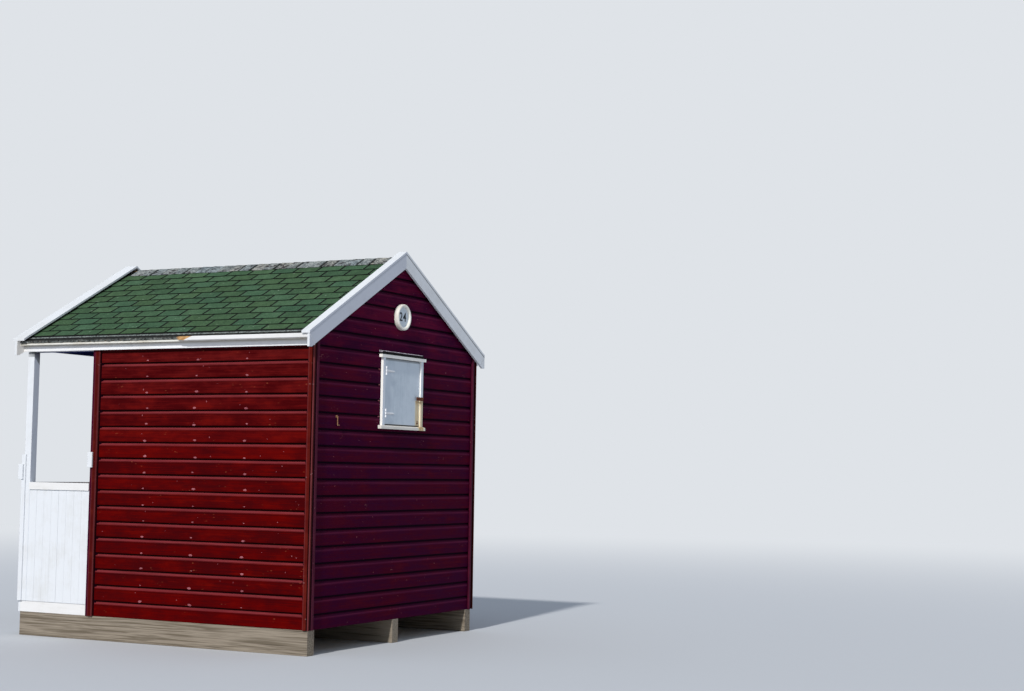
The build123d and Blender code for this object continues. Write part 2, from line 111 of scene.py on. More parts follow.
WEDGE_TOP = (1.4725, 2.5645)  # (x, z) of the joint between a rear barge board and its wedge
WEDGE_FOOT = (1.4146, 2.5065)
WEDGE_GAP = 0.0011
CAP_JOINT = 0.009
STOPPING_SIZES = (0.008, 0.012, 0.016, 0.019)
PLAQUE_FACE = 1.550
FIGURE_HEIGHT = 0.108
POST_SHADOW_DEPTH = 0.043  # painted shadow of the eaves on the posts' heads, and how far its edge leans across a post
POST_SHADOW_LEAN = 0.072
PANEL_JOINT = -1.095
PANEL_PITCH = 0.0865
PANEL_THICK = 0.0199
DOOR_PITCH = 0.1
FLOOR_PITCH = 0.12
BREAK_TIP = 0.216  # where the right drip strip's splinters end, along the hut
BREAK_LOW = 0.293  # where its paint ends, at its lower and its upper edge
BREAK_HIGH = 0.380

# What the finishes share

PAINT_IOR = 1.5
TIMBER_IOR = 1.5
FELT_IOR = 1.5
SOOT_AND_SHADE = "#3a3a36"
BROWN_TINT = "#a5977a"
CUT_FELT_AND_SHADE = "#060907"
RUN_COLOURS = ((0.15, "#e4d48c"), (0.55, "#dcb852"), (0.95, "#94601c"))


def rgb(code):
    """An sRGB hex colour as a linear one."""
    parts = [int(code[i:i + 2], 16) / 255 for i in (1, 3, 5)]
    return tuple(((p + 0.055) / 1.055) ** 2.4 if p > 0.04045 else p / 12.92 for p in parts) + (1.0,)


def per(*millimetres):
    """Texture scale for a pattern whose cells are that many millimetres."""
    scales = [1000 / size for size in millimetres]
    return scales[0] if len(scales) == 1 else tuple(scales)


def wave(*place):
    """Smooth noise, about as often above nought as below it."""
    return noise.noise(Vector(place))


def add(tree, kind, inputs=None, stops=None, **settings):
    """A shader node with its settings, its inputs set or linked, and a ramp's stops."""
    made = tree.nodes.new("ShaderNode" + kind)
    if kind == "Mix":
        made.data_type = "RGBA"
    for name, value in settings.items():
        setattr(made, name, value)
    for name, value in (inputs or {}).items():
        if isinstance(name, int):
            socket = made.inputs[name]
        else:
            socket = next(s for s in made.inputs if s.name == name and s.enabled)
        if isinstance(value, bpy.types.Node):
            value = next(s for s in value.outputs if s.enabled)
        if isinstance(value, bpy.types.NodeSocket):
            tree.links.new(value, socket)
        else:
            socket.default_value = value
    if stops:
        ramp = made.color_ramp
        ramp.elements.remove(ramp.elements[1])
        ramp.elements[0].position = stops[0][0]
        ramp.elements[0].color = rgb(stops[0][1])
        for place, colour in stops[1:]:
            ramp.elements.new(place).color = rgb(colour)
    return made


def start_material(name):
    """An empty material, its node tree, and the place on the piece in metres."""
    made = bpy.data.materials.new(name)
    made.use_nodes = True
    tree = made.node_tree
    tree.nodes.clear()
    return made, tree, add(tree, "TexCoord").outputs["Object"]


def end_material(made, relief, strength, deep, surface):
    """Gives a material its surface, with fine relief that many metres deep."""
    tree = made.node_tree
    bump = add(tree, "Bump", {"Height": relief, "Strength": strength, "Distance": deep})
    shader = add(tree, "BsdfPrincipled", {**surface, "Normal": bump})
    add(tree, "OutputMaterial", {"Surface": shader})
    return made


def brush_strokes(tree, place, grain):
    """Strokes drawn out along the grain, and the stretched place that they are read at."""
    stretched = add(tree, "VectorMath", {0: place, 1: per(*grain)}, operation="MULTIPLY")
    stroke = add(tree, "TexNoise", {"Vector": stretched, "Scale": 1.0, "Detail": 5.0, "Roughness": 0.7})
    return stroke, stretched


def cell_spots(tree, place, scale, rim, core):
    """A spot in each random cell, from its rim to its core, and the cells' random colours."""
    cells = add(tree, "TexVoronoi", {"Vector": place, "Scale": scale, "Randomness": 1.0})
    spot = add(tree, "MapRange", {"Value": cells.outputs["Distance"], "From Min": rim, "From Max": core})
    return spot, cells.outputs["Color"]


def chips(tree, place, channel, share):
    """Pinhead chips, in those 60 mm cells whose random channel is above a share."""
    spot, random_colour = cell_spots(tree, place, per(60), 0.06, 0.03)
    rare = add(tree, "SeparateColor", {0: random_colour}).outputs[channel]
    rare = add(tree, "Math", {0: rare, 1: share}, operation="GREATER_THAN")
    return add(tree, "Math", {0: spot, 1: rare}, operation="MULTIPLY")


def rust_run(tree, place, across, half, top, foot, strength):
    """How strong a rust stain is: a run that wide on each side, between two heights."""
    apart = add(tree, "SeparateXYZ", {0: place})
    up = apart.outputs["Z"]
    aside = add(tree, "Math", {0: apart.outputs["X"], 1: across}, operation="SUBTRACT")
    aside = add(tree, "Math", {0: aside}, operation="ABSOLUTE")
    run = add(tree, "MapRange", {
        "Value": aside, "From Min": half * 1.3, "From Max": half * 0.55, "To Max": strength})
    # Streaks 5 mm wide, drawn out down the wood
    drawn = add(tree, "VectorMath", {0: place, 1: per(5, 5, 160)}, operation="MULTIPLY")
    drawn = add(tree, "TexNoise", {"Vector": drawn, "Scale": 1.0, "Detail": 3.0})
    for value, low, high, least, most in (
            (up, top, top - 0.012, 0.0, 1.0), (up, top - 0.05, top, 0.85, 1.3),
            (up, foot - 0.015, foot, 0.0, 1.0), (drawn, 0.3, 0.6, 0.6, 1.0)):
        share = add(tree, "MapRange", {
            "Value": value, "From Min": low, "From Max": high, "To Min": least, "To Max": most})
        run = add(tree, "Math", {0: run, 1: share}, operation="MULTIPLY")
    return run


def brushed_paint(
        name, deep, body, warm, chalk_and_highlight, dirt, fleck, grain, levels=None, shine=0.03, rough=0.5, bloom_and_highlight=0.8):
    """Oil gloss brushed on boards and dulled by the sea.

    The eye gets long faint brush strokes, broad patches where the last coat was thin, rows
    of short scuffs, a chalky film and a painted highlight on edges that face the sky,
    near-black joints, a darkening that a piece marks (dirt in its joints, painted shade in
    coves and under laps) and pinhead chips. Levels are (height, colour) pairs for a colour
    that changes up the wall.
    """
    made, tree, place = start_material(name)
    tone, worn_and_highlight, grime_and_shade = (
        add(tree, "Attribute", attribute_name=mark).outputs["Fac"] for mark in ("tone", "worn_and_highlight", "grime_and_shade"))
    stroke, stretched = brush_strokes(tree, place, grain)
    broad = add(tree, "VectorMath", {0: place, 1: per(340, 340, 130)}, operation="MULTIPLY")
    patch = add(tree, "TexNoise", {"Vector": broad, "Scale": 1.0, "Detail": 7.0, "Roughness": 0.62})
    mixed = add(tree, "Math", {0: stroke, 1: 0.8, 2: patch}, operation="MULTIPLY_ADD")
    mixed = add(tree, "Math", {0: tone, 1: 0.14, 2: mixed}, operation="MULTIPLY_ADD")
    mixed = add(tree, "Math", {0: mixed, 1: 0.15}, operation="SUBTRACT")
    depth = add(tree, "MapRange", {"Value": mixed, "From Min": 0.66, "From Max": 0.98})
    body_colour = rgb(body)
    if levels:
        low, high = levels[0][0], levels[-1][0]
        height = add(tree, "SeparateXYZ", {0: place}).outputs["Z"]
        height = add(tree, "MapRange", {"Value": height, "From Min": low, "From Max": high})
        stops = [((up - low) / (high - low), colour) for up, colour in levels]
        body_colour = add(tree, "ValToRGB", {"Fac": height}, stops=stops)
    colour = add(tree, "Mix", {"Factor": depth, "A": rgb(deep), "B": body_colour})

    thin = add(tree, "TexNoise", {"Vector": stretched, "Scale": 0.45, "Detail": 6.0, "Roughness": 0.75})
    thin = add(tree, "Math", {0: thin, 1: patch}, operation="MULTIPLY")
    thin = add(tree, "MapRange", {"Value": thin, "From Min": 0.27, "From Max": 0.42, "To Max": 0.42})

    dashes = add(tree, "VectorMath", {0: place, 1: per(44, 44, 18)}, operation="MULTIPLY")
    scuff, _ = cell_spots(tree, dashes, 1.0, 0.26, 0.12)
    where = add(
        tree, "TexNoise", {"Vector": broad, "Scale": 1.7, "Detail": 4.0, "W": 3.0}, noise_dimensions="4D")
    where = add(tree, "MapRange", {"Value": where, "From Min": 0.61, "From Max": 0.7, "To Max": 0.5})
    scuff = add(tree, "Math", {0: scuff, 1: where}, operation="MULTIPLY")

    # Faces that look up, and arrises that a piece marks, get a chalky film and a painted highlight,
    # stronger on sunlit walls
    facing = add(tree, "NewGeometry").outputs["True Normal"]
    facing = add(tree, "SeparateXYZ", {0: facing}).outputs["Z"]
    sky = add(tree, "MapRange", {"Value": facing, "From Min": 0.12, "From Max": 0.4, "To Max": bloom_and_highlight})
    sky = add(tree, "Math", {0: sky, 1: worn_and_highlight}, operation="MAXIMUM")
    ragged = add(tree, "MapRange", {"Value": stroke, "From Min": 0.3, "From Max": 0.6, "To Min": 0.45})
    sky = add(tree, "Math", {0: sky, 1: ragged}, operation="MULTIPLY")

    chip = chips(tree, place, "Red", 0.88)
    # The darkening mark mixes in dirt, and painted shade where a piece marks coves, gaps and laps
    for share, coat in ((thin, warm), (scuff, fleck), (sky, chalk_and_highlight), (grime_and_shade, dirt), (chip, fleck)):
        colour = add(tree, "Mix", {"Factor": share, "A": colour, "B": rgb(coat)})
    gloss = add(tree, "MapRange", {"Value": patch, "To Min": rough - 0.1, "To Max": rough + 0.12})
    return end_material(made, stroke, 0.35, 0.0012, {
        "Base Color": colour, "Roughness": gloss, "IOR": PAINT_IOR, "Specular IOR Level": shine})


def white_gloss(
        name, grain, body="#dfe2e6", dirt="#b9b6ab", stain="#9a7a4c", dirty=0.35, specks=0.93, runs=(),
        browned=None):
    """White oil gloss on planed softwood.

    The eye gets a near-white coat with faint strokes along the grain, a thin grey film of
    dirt in patches, and a few ochre specks where it has flaked. Runs are rust stains that
    water has drawn down from iron, each (x, half width, top, foot, strength). Browned is
    the heights between which a brown tint fades in towards the top.
    """
    made, tree, place = start_material(name)
    stroke, _ = brush_strokes(tree, place, grain)
    film = add(tree, "TexNoise", {"Vector": place, "Scale": per(260), "Detail": 6.0, "Roughness": 0.65})
    film = add(tree, "Math", {0: stroke, 1: 0.5, 2: film}, operation="MULTIPLY_ADD")
    film = add(tree, "MapRange", {"Value": film, "From Min": 0.72, "From Max": 1.05, "To Max": dirty})
    colour = add(tree, "Mix", {"Factor": film, "A": rgb(body), "B": rgb(dirt)})
    chip = chips(tree, place, "Green", specks)
    colour = add(tree, "Mix", {"Factor": chip, "A": colour, "B": rgb(stain)})
    for run in runs:
        share = rust_run(tree, place, *run)
        rust = add(tree, "ValToRGB", {"Fac": share}, RUN_COLOURS)
        colour = add(tree, "Mix", {"Factor": share, "A": colour, "B": rust})
    if browned:
        height = add(tree, "SeparateXYZ", {0: place}).outputs["Z"]
        share = add(tree, "MapRange", {
            "Value": height, "From Min": browned[0], "From Max": browned[1], "To Max": 0.85})
        colour = add(tree, "Mix", {"Factor": share, "A": colour, "B": rgb(BROWN_TINT)})
    # The darkening mark mixes in a dark grey, as dirt and as painted shade where a piece marks it
    grime_and_shade = add(tree, "Attribute", attribute_name="grime_and_shade").outputs["Fac"]
    colour = add(tree, "Mix", {"Factor": grime_and_shade, "A": colour, "B": rgb(SOOT_AND_SHADE)})
    gloss = add(tree, "MapRange", {"Value": film, "To Min": 0.34, "To Max": 0.55})
    return end_material(made, stroke, 0.25, 0.001, {
        "Base Color": colour, "Roughness": gloss, "IOR": PAINT_IOR, "Specular IOR Level": 0.25})


def sawn_softwood(name, grain, pale="#b99c6c", dark="#7f6238", knots="#5a3f22"):
    """Pressure-treated softwood from the saw.

    The eye gets a straw body with darker growth lines along the timber and small knots.
    """
    made, tree, place = start_material(name)
    stretched = add(tree, "VectorMath", {0: place, 1: per(*grain)}, operation="MULTIPLY")
    rings = add(tree, "TexNoise", {"Vector": stretched, "Scale": 1.0, "Detail": 5.0, "Distortion": 0.6})
    tone = add(tree, "Attribute", attribute_name="tone").outputs["Fac"]
    mixed = add(tree, "Math", {0: tone, 1: 0.25, 2: rings}, operation="MULTIPLY_ADD")
    colour = add(tree, "ValToRGB", {"Fac": mixed}, ((0.42, dark), (0.62, pale), (0.85, dark)))
    knot, _ = cell_spots(tree, stretched, 0.35, 0.12, 0.04)
    colour = add(tree, "Mix", {"Factor": knot, "A": colour, "B": rgb(knots)})
    return end_material(made, rings, 0.4, 0.001, {
        "Base Color": colour, "Roughness": 0.82, "IOR": TIMBER_IOR, "Specular IOR Level": 0.25})


def mineral_felt(
        name, shades, grit, pale, moss, mossy=0.25, spread=0.34, coarse=7, contrast=0.55, soft=1.0,
        hues=("#ffffff", "#ffffff"), clump=150):
    """Bitumen felt faced with slate granules.

    The eye gets a matt speckle of grit, each tab a shade and a hue of its own, lichen dots,
    black cuts and paler edges where the granules have been rubbed. The same black darkens
    what a piece marks as painted shade, in slits, under butts and under laps.
    """
    made, tree, place = start_material(name)
    tone, worn_and_highlight, grime_and_shade = (
        add(tree, "Attribute", attribute_name=mark).outputs["Fac"] for mark in ("tone", "worn_and_highlight", "grime_and_shade"))
    # Granules are under 2 mm, drawn larger so that they show
    cloud, grain, growth, ragged = (
        add(tree, "TexNoise", {"Vector": place, "Scale": per(size), "Detail": detail, "Roughness": rough})
        for size, detail, rough in ((90, 6.0, 0.7), (coarse, 2.0, 0.8), (clump, 7.0, 0.75), (34, 4.0, 0.7)))
    mixed = 0.535 - (contrast + spread + soft) / 2
    for field, weight in ((tone, spread), (cloud, soft), (grain, contrast)):
        mixed = add(tree, "Math", {0: field, 1: weight, 2: mixed}, operation="MULTIPLY_ADD")
    colour = add(tree, "ValToRGB", {"Fac": mixed}, shades)
    hue = add(tree, "Math", {0: tone, 1: 7.0}, operation="MULTIPLY")
    hue = add(tree, "Math", {0: hue}, operation="FRACT")
    hue = add(tree, "Mix", {"Factor": hue, "A": rgb(hues[0]), "B": rgb(hues[1])})
    colour = add(tree, "Mix", {"Factor": 1.0, "A": colour, "B": hue}, blend_type="MULTIPLY")

    dot, random_colour = cell_spots(tree, place, per(grit), 0.22, 0.1)
    rare = add(tree, "SeparateColor", {0: random_colour}).outputs["Blue"]
    rare = add(tree, "MapRange", {"Value": rare, "From Min": 0.8, "From Max": 1.0})
    dot = add(tree, "Math", {0: dot, 1: rare}, operation="MULTIPLY")
    rubbed = add(tree, "MapRange", {"Value": grain, "From Min": 0.36, "From Max": 0.56})
    rubbed = add(tree, "Math", {0: rubbed, 1: worn_and_highlight}, operation="MULTIPLY")
    dot = add(tree, "Math", {0: dot, 1: rubbed}, operation="MAXIMUM")
    growth = add(tree, "MapRange", {"Value": growth, "From Min": 0.55, "From Max": 0.75, "To Max": mossy})
    ragged = add(tree, "Math", {0: ragged, 1: 1.2, 2: -0.6}, operation="MULTIPLY_ADD")
    grime_and_shade = add(tree, "Math", {0: grime_and_shade, 1: 2.0, 2: ragged}, operation="MULTIPLY_ADD")
    grime_and_shade = add(tree, "MapRange", {"Value": grime_and_shade, "From Min": 0.45, "From Max": 1.05})
    for share, coat in ((dot, pale), (growth, moss), (grime_and_shade, CUT_FELT_AND_SHADE)):
        colour = add(tree, "Mix", {"Factor": share, "A": colour, "B": rgb(coat)})
    return end_material(made, grain, 0.6, 0.0015, {
        "Base Color": colour, "Roughness": 0.92, "IOR": FELT_IOR, "Specular IOR Level": 0.2})


def rusted_steel(name, rust="#5a260a", light="#9a5420", dark="#220c04"):
    """Mild steel that has lost its paint: matt scale in brown and orange, pitted."""
    made, tree, place = start_material(name)
    scale = add(tree, "TexNoise", {"Vector": place, "Scale": per(9), "Detail": 6.0, "Roughness": 0.7})
    colour = add(tree, "ValToRGB", {"Fac": scale}, ((0.36, dark), (0.5, rust), (0.68, light)))
    return end_material(made, scale, 0.6, 0.0008, {
        "Base Color": colour, "Metallic": 0.25, "Roughness": 0.75})


# Paints, felts, timber and metal. Three sizes give a pattern's cells along X, Y and Z in mm

HASP_LOW, HASP_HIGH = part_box("hatch_hasp")
SILL_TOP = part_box("hatch_sill")[1].z
STILE_RUN = (HASP_HIGH.x - 0.034, 0.034, HASP_LOW.z + 0.006, SILL_TOP, 0.82)
JAMB_RUN = (HASP_LOW.x + 0.022, 0.024, HASP_LOW.z + 0.006, SILL_TOP - 0.01, 0.8)
SILL_RUN = (HASP_LOW.x + 0.040, 0.048, SILL_TOP + 0.012, SILL_TOP - 0.04, 0.85)

# The oxblood gloss as lit by the sun; its two highest levels paint the fascia's shadow along the top of the
# wall
SUNLIT_SIDE_PAINT = brushed_paint(
    "oxblood_gloss_sunny_side", "#400306", "#580404", "#700f05", "#84363b", "#180102", "#a85a3c",
    (14, 420, 9), shine=0.015,
    levels=((0.9, "#590101"), (1.6, "#5e0403"), (2.2, "#601010"), (2.452, "#5e1414"), (2.468, "#120102")))
# The same oxblood as it looks in shade: darker, and purple where its gloss would reflect the sky, a painted
# shade and a painted reflection
SHADED_GABLE_PAINT = brushed_paint(
    "oxblood_gloss_shaded_gable", "#360428", "#45051e", "#5a101c", "#6a2a48", "#150213", "#96605e",
    (420, 14, 9), shine=0.008, bloom_and_highlight=0.15,
    levels=((0.9, "#42041e"), (2.2, "#46061f"), (2.6, "#520b2c"), (3.0, "#600f30")))
# The battens' oxblood as lit by the sun
BATTEN_PAINT = brushed_paint(
    "oxblood_gloss_battens", "#480b0b", "#5e1812", "#702619", "#7c4246", "#180102", "#c9a3a0",
    (12, 12, 300))
# The battens' oxblood as it looks in shade, darker and purple: painted shade and painted reflection
SHADED_BATTEN_PAINT = brushed_paint(
    "oxblood_gloss_shaded_battens", "#3a0820", "#4c1028", "#5c1c28", "#6a3b4a", "#0c0106", "#b78d8b",
    (12, 12, 300), shine=0.01)
CEILING_PAINT = brushed_paint(
    "navy_paint_porch_ceiling", "#1c2a66", "#2a3c86", "#303c70", "#34407a", "#0a1030", "#5a6080",
    (14, 420, 14), shine=0.01, bloom_and_highlight=0.0)
WHITE_UPRIGHT = white_gloss("white_gloss_uprights", (14, 14, 380))
# The posts' white, painted lighter and bluer for their faces that look to the rear, as light on the shaded
# side
WHITE_POST_SHADE = white_gloss("white_gloss_post_shaded", (14, 14, 380), "#eaf3ff", "#d0d8e6", dirty=0.2)
WHITE_ALONG = white_gloss("white_gloss_eaves", (14, 420, 14), "#e5e4e3")
WHITE_ACROSS = white_gloss("white_gloss_gable_trim", (420, 14, 420))
FASCIA_WHITE = white_gloss(
    "white_gloss_fascia_browned", (14, 420, 14), "#eeeeef",
    browned=(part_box("fascia_boards")[0].z + 0.03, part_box("drip_strips")[0].z))
PLAQUE_RIM = white_gloss("white_gloss_plaque_rim", (60, 60, 60), "#f4f2ea", "#c8b898", dirty=0.5)
PLAQUE_GREY = white_gloss("grey_gloss_plaque_face", (60, 60, 60), "#cfd9e2", "#b4bcc2", dirty=0.5)
WHITE_CREAM = white_gloss(
    "white_gloss_weathered_cream", (14, 120, 14), "#e2e0d8", "#b0a488", "#6b4a26", 0.75, 0.5)
# Near-white painted highlight for the sunlit faces of the window's jambs
WHITE_PAINTED_HIGHLIGHT = white_gloss(
    "white_gloss_hatch_edges", (14, 14, 380), "#fffdf8", dirty=0.0, runs=(JAMB_RUN,))
# Near-white painted light for the window's head and for the front barges' rear faces
TRIM_WHITE_PAINTED_LIGHT = white_gloss("white_gloss_hatch_head", (420, 14, 420), "#fffbf4", dirty=0.1)
SILL_WHITE = white_gloss("white_gloss_hatch_sill", (420, 14, 420), "#e4dfd6", runs=(SILL_RUN,))
# The jambs' white painted darker and bluer as shade, for their faces that look to the rear
JAMB_WHITE_PAINTED_SHADE = white_gloss("white_gloss_hatch_jambs", (14, 14, 380), "#d2dae4", runs=(JAMB_RUN,))
# White painted darker and bluer as shade, for the rear faces of one rear barge board and its cap
WHITE_BARGE_SHADE = white_gloss("white_gloss_shaded_barges", (420, 14, 420), "#c6cad4", "#aeb2b8")
HINGE_WHITE = white_gloss("white_gloss_hinges", (12, 12, 12), "#fbfcff", "#e0dcd0", "#5a4632", 0.2, 0.8)
SHUTTER_PAINT = white_gloss(
    "pale_grey_gloss_shutter", (22, 22, 420), "#cbd6e0", "#aab8c5", "#8d969f", 0.8, 0.97,
    runs=(STILE_RUN,))
TIMBER_X = sawn_softwood("treated_softwood_across", (500, 12, 12))
TIMBER_Y = sawn_softwood("treated_softwood_along", (12, 500, 12))
TIMBER_Z = sawn_softwood("treated_softwood_upright", (12, 12, 500))
GREYED_TIMBER = sawn_softwood("greyed_softwood_along", (12, 500, 12), "#94897a", "#665c4e", "#3c342a")
BARE_TIMBER = sawn_softwood("bare_ochre_softwood", (6, 60, 6), "#d9b07c", "#a06c38", "#3c2410")
GREEN_FELT = mineral_felt(
    "green_slate_felt", ((0.1, "#1b2b1e"), (0.38, "#2d4731"), (0.62, "#405d42"), (0.95, "#637d63")),
    38, "#8fa08c", "#2a3c26", spread=0.16, coarse=11, contrast=1.1, soft=0.6, hues=("#fffaea", "#eefaff"))
GREY_FELT = mineral_felt(
    "grey_slate_felt_lichened", ((0.1, "#1c1a1c"), (0.36, "#586062"), (0.55, "#838989"), (0.9, "#b8bcb8")),
    30, "#b9a67c", "#2a2224", 6.0, 0.1, 15, 1.4, hues=("#fff6ee", "#f0f8ff"), clump=75)
BLACK_FELT = mineral_felt(
    "black_bitumen_felt", ((0.2, "#080808"), (0.5, "#1a1918"), (0.68, "#4e4a44"), (0.9, "#9a9a96")),
    30, "#8d9693", "#5a3c1e", 0.6, 0.1, 17, 1.6)
DRIP_FELT = mineral_felt(
    "grey_bitumen_felt_drip", ((0.2, "#08080a"), (0.5, "#1b191d"), (0.68, "#56505a"), (0.9, "#a09aa4")),
    30, "#c4bcc8", "#4a4038", 0.4, 0.1, 17, 1.6)
RUST = rusted_steel("rusted_mild_steel")
OCHRE_IRON = rusted_steel("rusted_galvanised_hook", "#8a5c38", "#c8a480", "#4a2814")
PAINTED_IRON = rusted_steel("oxblood_painted_iron", "#4a1018", "#8c4a4c", "#2a060e")
FILLER_AND_HIGHLIGHT = brushed_paint(
    "stopping_over_nails_and_highlights", "#86464e", "#a2626a", "#a85a48", "#b07a80", "#5a2a2a", "#d9b9b4",
    (8, 8, 8), rough=0.7)
FIGURE_PAINT = brushed_paint(
    "dark_grey_signwriting", "#33363b", "#44474c", "#55504a", "#5c5f64", "#22242a", "#8a8d92",
    (12, 12, 12))


class Shape:
    """Corners and faces gathered for one piece, with marks that its finish reads."""

    def __init__(self):
        self.points = []
        self.faces = []
        self.marks = {"tone": [], "grime_and_shade": [], "worn_and_highlight": []}

    def loft(self, rings, tone=0.5, grime_and_shade=None, worn_and_highlight=None):
        """A closed solid through rings of corners, with a darkening mark (dirt and painted shade) and a
        paleness mark (wear and painted highlight) for one ring or for all.
        """
        first = len(self.points)
        count = len(rings[0])
        last = first + count * (len(rings) - 1)
        for ring in rings:
            self.points.extend(ring)
        for mark, values in (("tone", [tone]), ("grime_and_shade", grime_and_shade or [0.0]), ("worn_and_highlight", worn_and_highlight or [0.0])):
            self.marks[mark].extend(values * (count * len(rings) // len(values)))
        for start in range(first, last, count):
            for corner in range(count):
                here, beside = start + corner, start + (corner + 1) % count
                self.faces.append((here, beside, beside + count, here + count))
        self.faces.append(tuple(range(first, first + count)))
        self.faces.append(tuple(reversed(range(last, last + count))))

    def run(self, section, spots, place, tone=0.5, grime_and_shade=None):
        """A solid of one section along several spots. Place gives each corner's point there."""
        self.loft([[place(a, b, spot) for a, b in section] for spot in spots], tone, grime_and_shade)


def dress(obj, material, slot, nodes=()):
    """Gives a new piece its finish, its body and the nodes that it stands for."""
    bpy.context.scene.collection.objects.link(obj)
    obj.data.materials.append(material)
    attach(obj, "root")
    if nodes:
        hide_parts(*nodes)
    return obj


def make_piece(name, shape, material, nodes=(), slot=None):
    """A mesh object from a shape, its faces turned outwards, for its nodes; its slot is not used."""
    mesh = bpy.data.meshes.new(name)
    mesh.from_pydata(shape.points, [], shape.faces)
    for mark, values in shape.marks.items():
        mesh.attributes.new(mark, "FLOAT", "POINT").data.foreach_set("value", values)
    work = bmesh.new()
    work.from_mesh(mesh)
    bmesh.ops.recalc_face_normals(work, faces=work.faces)
    work.to_mesh(mesh)
    work.free()
    return dress(bpy.data.objects.new(name, mesh), material, slot or slot_of(nodes[0]), nodes)


def slot_of(node):
    """The material slot that the record gives a node."""
    return next(part["material_slot"] for part in frame["record"]["subparts"] if part["node"] == node)


def two_tone(obj, material, toward=(0, 1, 0)):
    """Gives the faces of a piece that look one way a second finish."""
    obj.data.materials.append(material)
    for face in obj.data.polygons:
        if face.normal.dot(Vector(toward)) > 0.8:
            face.material_index = 1


def eased(node, material, width=0.0015):
    """A node's own solids with their edges eased, as planed and painted timber has them."""
    name = node + "_eased"
    mesh = bpy.data.meshes.new(name)
    work = bmesh.new()
    work.from_mesh(frame["nodes"][node].data)
    bmesh.ops.remove_doubles(work, verts=work.verts, dist=0.00001)
    bmesh.ops.dissolve_limit(work, angle_limit=math.radians(1), verts=work.verts, edges=work.edges)
    sharp = [e for e in work.edges if e.is_manifold and e.calc_face_angle() > math.radians(25)]
    bmesh.ops.bevel(
        work, geom=sharp, offset=width, offset_type="OFFSET", segments=2, profile=0.5,
        affect="EDGES", clamp_overlap=True)
    tone = work.verts.layers.float.new("tone")
    draw = random.Random(name)
    seen = set()
    for vertex in work.verts:
        if vertex in seen:
            continue
        timber_tone = draw.random()
        reached = [vertex]
        while reached:
            here = reached.pop()
            if here not in seen:
                seen.add(here)
                here[tone] = timber_tone
                reached.extend(edge.other_vert(here) for edge in here.link_edges)
    work.to_mesh(mesh)
    work.free()
    return dress(bpy.data.objects.new(name, mesh), material, slot_of(node), (node,))


def on_wall(axis, face, outward):
    """Places a point given along a wall, in from its face and up from the ground."""
    def place(along, depth, up):
        across = face - outward * depth
        return (across, along, up) if axis == "x" else (along, across, up)
    return place


ON_RIGHT = on_wall("x", SIDE_FACE, 1)
ON_LEFT = on_wall("x", -SIDE_FACE, -1)
ON_REAR = on_wall("y", REAR_FACE, 1)
ON_FRONT = on_wall("y", FRONT_FACE, -1)
ON_PORCH = on_wall("y", PORCH_FACE, -1)


def cut_away(outline, distance):
    """The part of an outline where the distance from a line isn't negative."""
    kept = []
    for here, after in zip(outline, outline[1:] + outline[:1]):
        near = distance(here)
        far = distance(after)
        if near >= 0:
            kept.append(here)
        if (near >= 0) != (far >= 0):
            part = near / (near - far)
            first, second = (here[i] + part * (after[i] - here[i]) for i in (0, 1))
            kept.append((first, second, *here[2:]))
    return kept


def shiplap_profile(foot, cover, shaded):
    """A board's outline: a flat face, a cove above it, and the tongue behind the next board.

    On a shaded wall the cove is painted dark as shade and the arris below it painted pale as
    a highlight; on a sunny wall a painted shade line runs just under the arris. The underside
    of the lip and the recess behind it are darkened: a dark joint, with painted shade.
    """
    flat = foot + BOARD_FLAT
    tongue = foot + cover + 0.0095
    rebate = foot + 0.0105
    back = BOARD_LIP + 0.0003
    cove, arris, soot_and_shade = (0.42, 0.42, 0.0) if shaded else (0.0, 0.0, 0.42)
    return [
        (0.0020, foot, 0.85, 0), (0.0, foot + 0.0020, 0.35, 0), (0.0, foot + 0.010, 0.0, 0),
        (0.0, foot + 0.05, 0.0, 0), (0.0, flat - 0.016, 0.0, 0), (0.0, flat - 0.003, soot_and_shade, arris),
        (0.0007, flat + 0.002, 0.0, arris), (0.0022, flat + 0.008, cove, 0),
        (0.0062, flat + 0.0175, cove, 0), (0.0105, flat + 0.022, max(cove, 0.15), 0),
        (BOARD_LIP, flat + 0.0235, 1.0, 0), (BOARD_LIP, tongue, 1.0, 0), (BOARD_THICK, tongue, 1.0, 0),
        (BOARD_THICK, rebate, 1.0, 0), (back, rebate, 1.0, 0), (back, foot, 1.0, 0)]


def end_at(end, up):
    """Where a board ends at a height: a number, or a function of the height."""
    return end(up) if callable(end) else end


def lay_boards(shape, place, feet, spans, top, draw, shaded=True):
    """Shiplap from line to line. Each span is (start, stop, low, high)."""
    for foot, cover in feet:
        tone = draw.random()
        seed = draw.uniform(0, 100)
        for start, stop, low, high in spans:
            least, most = max(low, WALL_FOOT), min(high, top)
            profile = cut_away(shiplap_profile(foot, cover, shaded), lambda corner: corner[1] - least)
            profile = cut_away(profile, lambda corner: most - corner[1])
            heights = [corner[1] for corner in profile]
            if len(profile) < 3 or max(heights) - min(heights) < 0.002:
                continue
            steps = max(2, round((end_at(stop, foot) - end_at(start, foot)) / BOARD_STEP))
            rings = []
            for step in range(steps + 1):
                ring = []
                for depth, up, _, _ in profile:
                    near = end_at(start, up)
                    along = near + (end_at(stop, up) - near) * (step / steps)
                    bow = BOARD_BOW * (1 + wave(along * 1.7, seed, 0))
                    sag = BOARD_SAG * wave(along * 1.1, seed, 9)
                    fixed = depth > BOARD_LIP or up <= low + 0.0001 or up >= top - 0.0001
                    ring.append(place(along, depth + bow, up if fixed else up + sag))
                rings.append(ring)
            shape.loft(rings, tone, [mark[2] for mark in profile], [mark[3] for mark in profile])


def mirrored(half):
    """A span's left end, as far out as its right one."""
    return lambda up: -half(up)


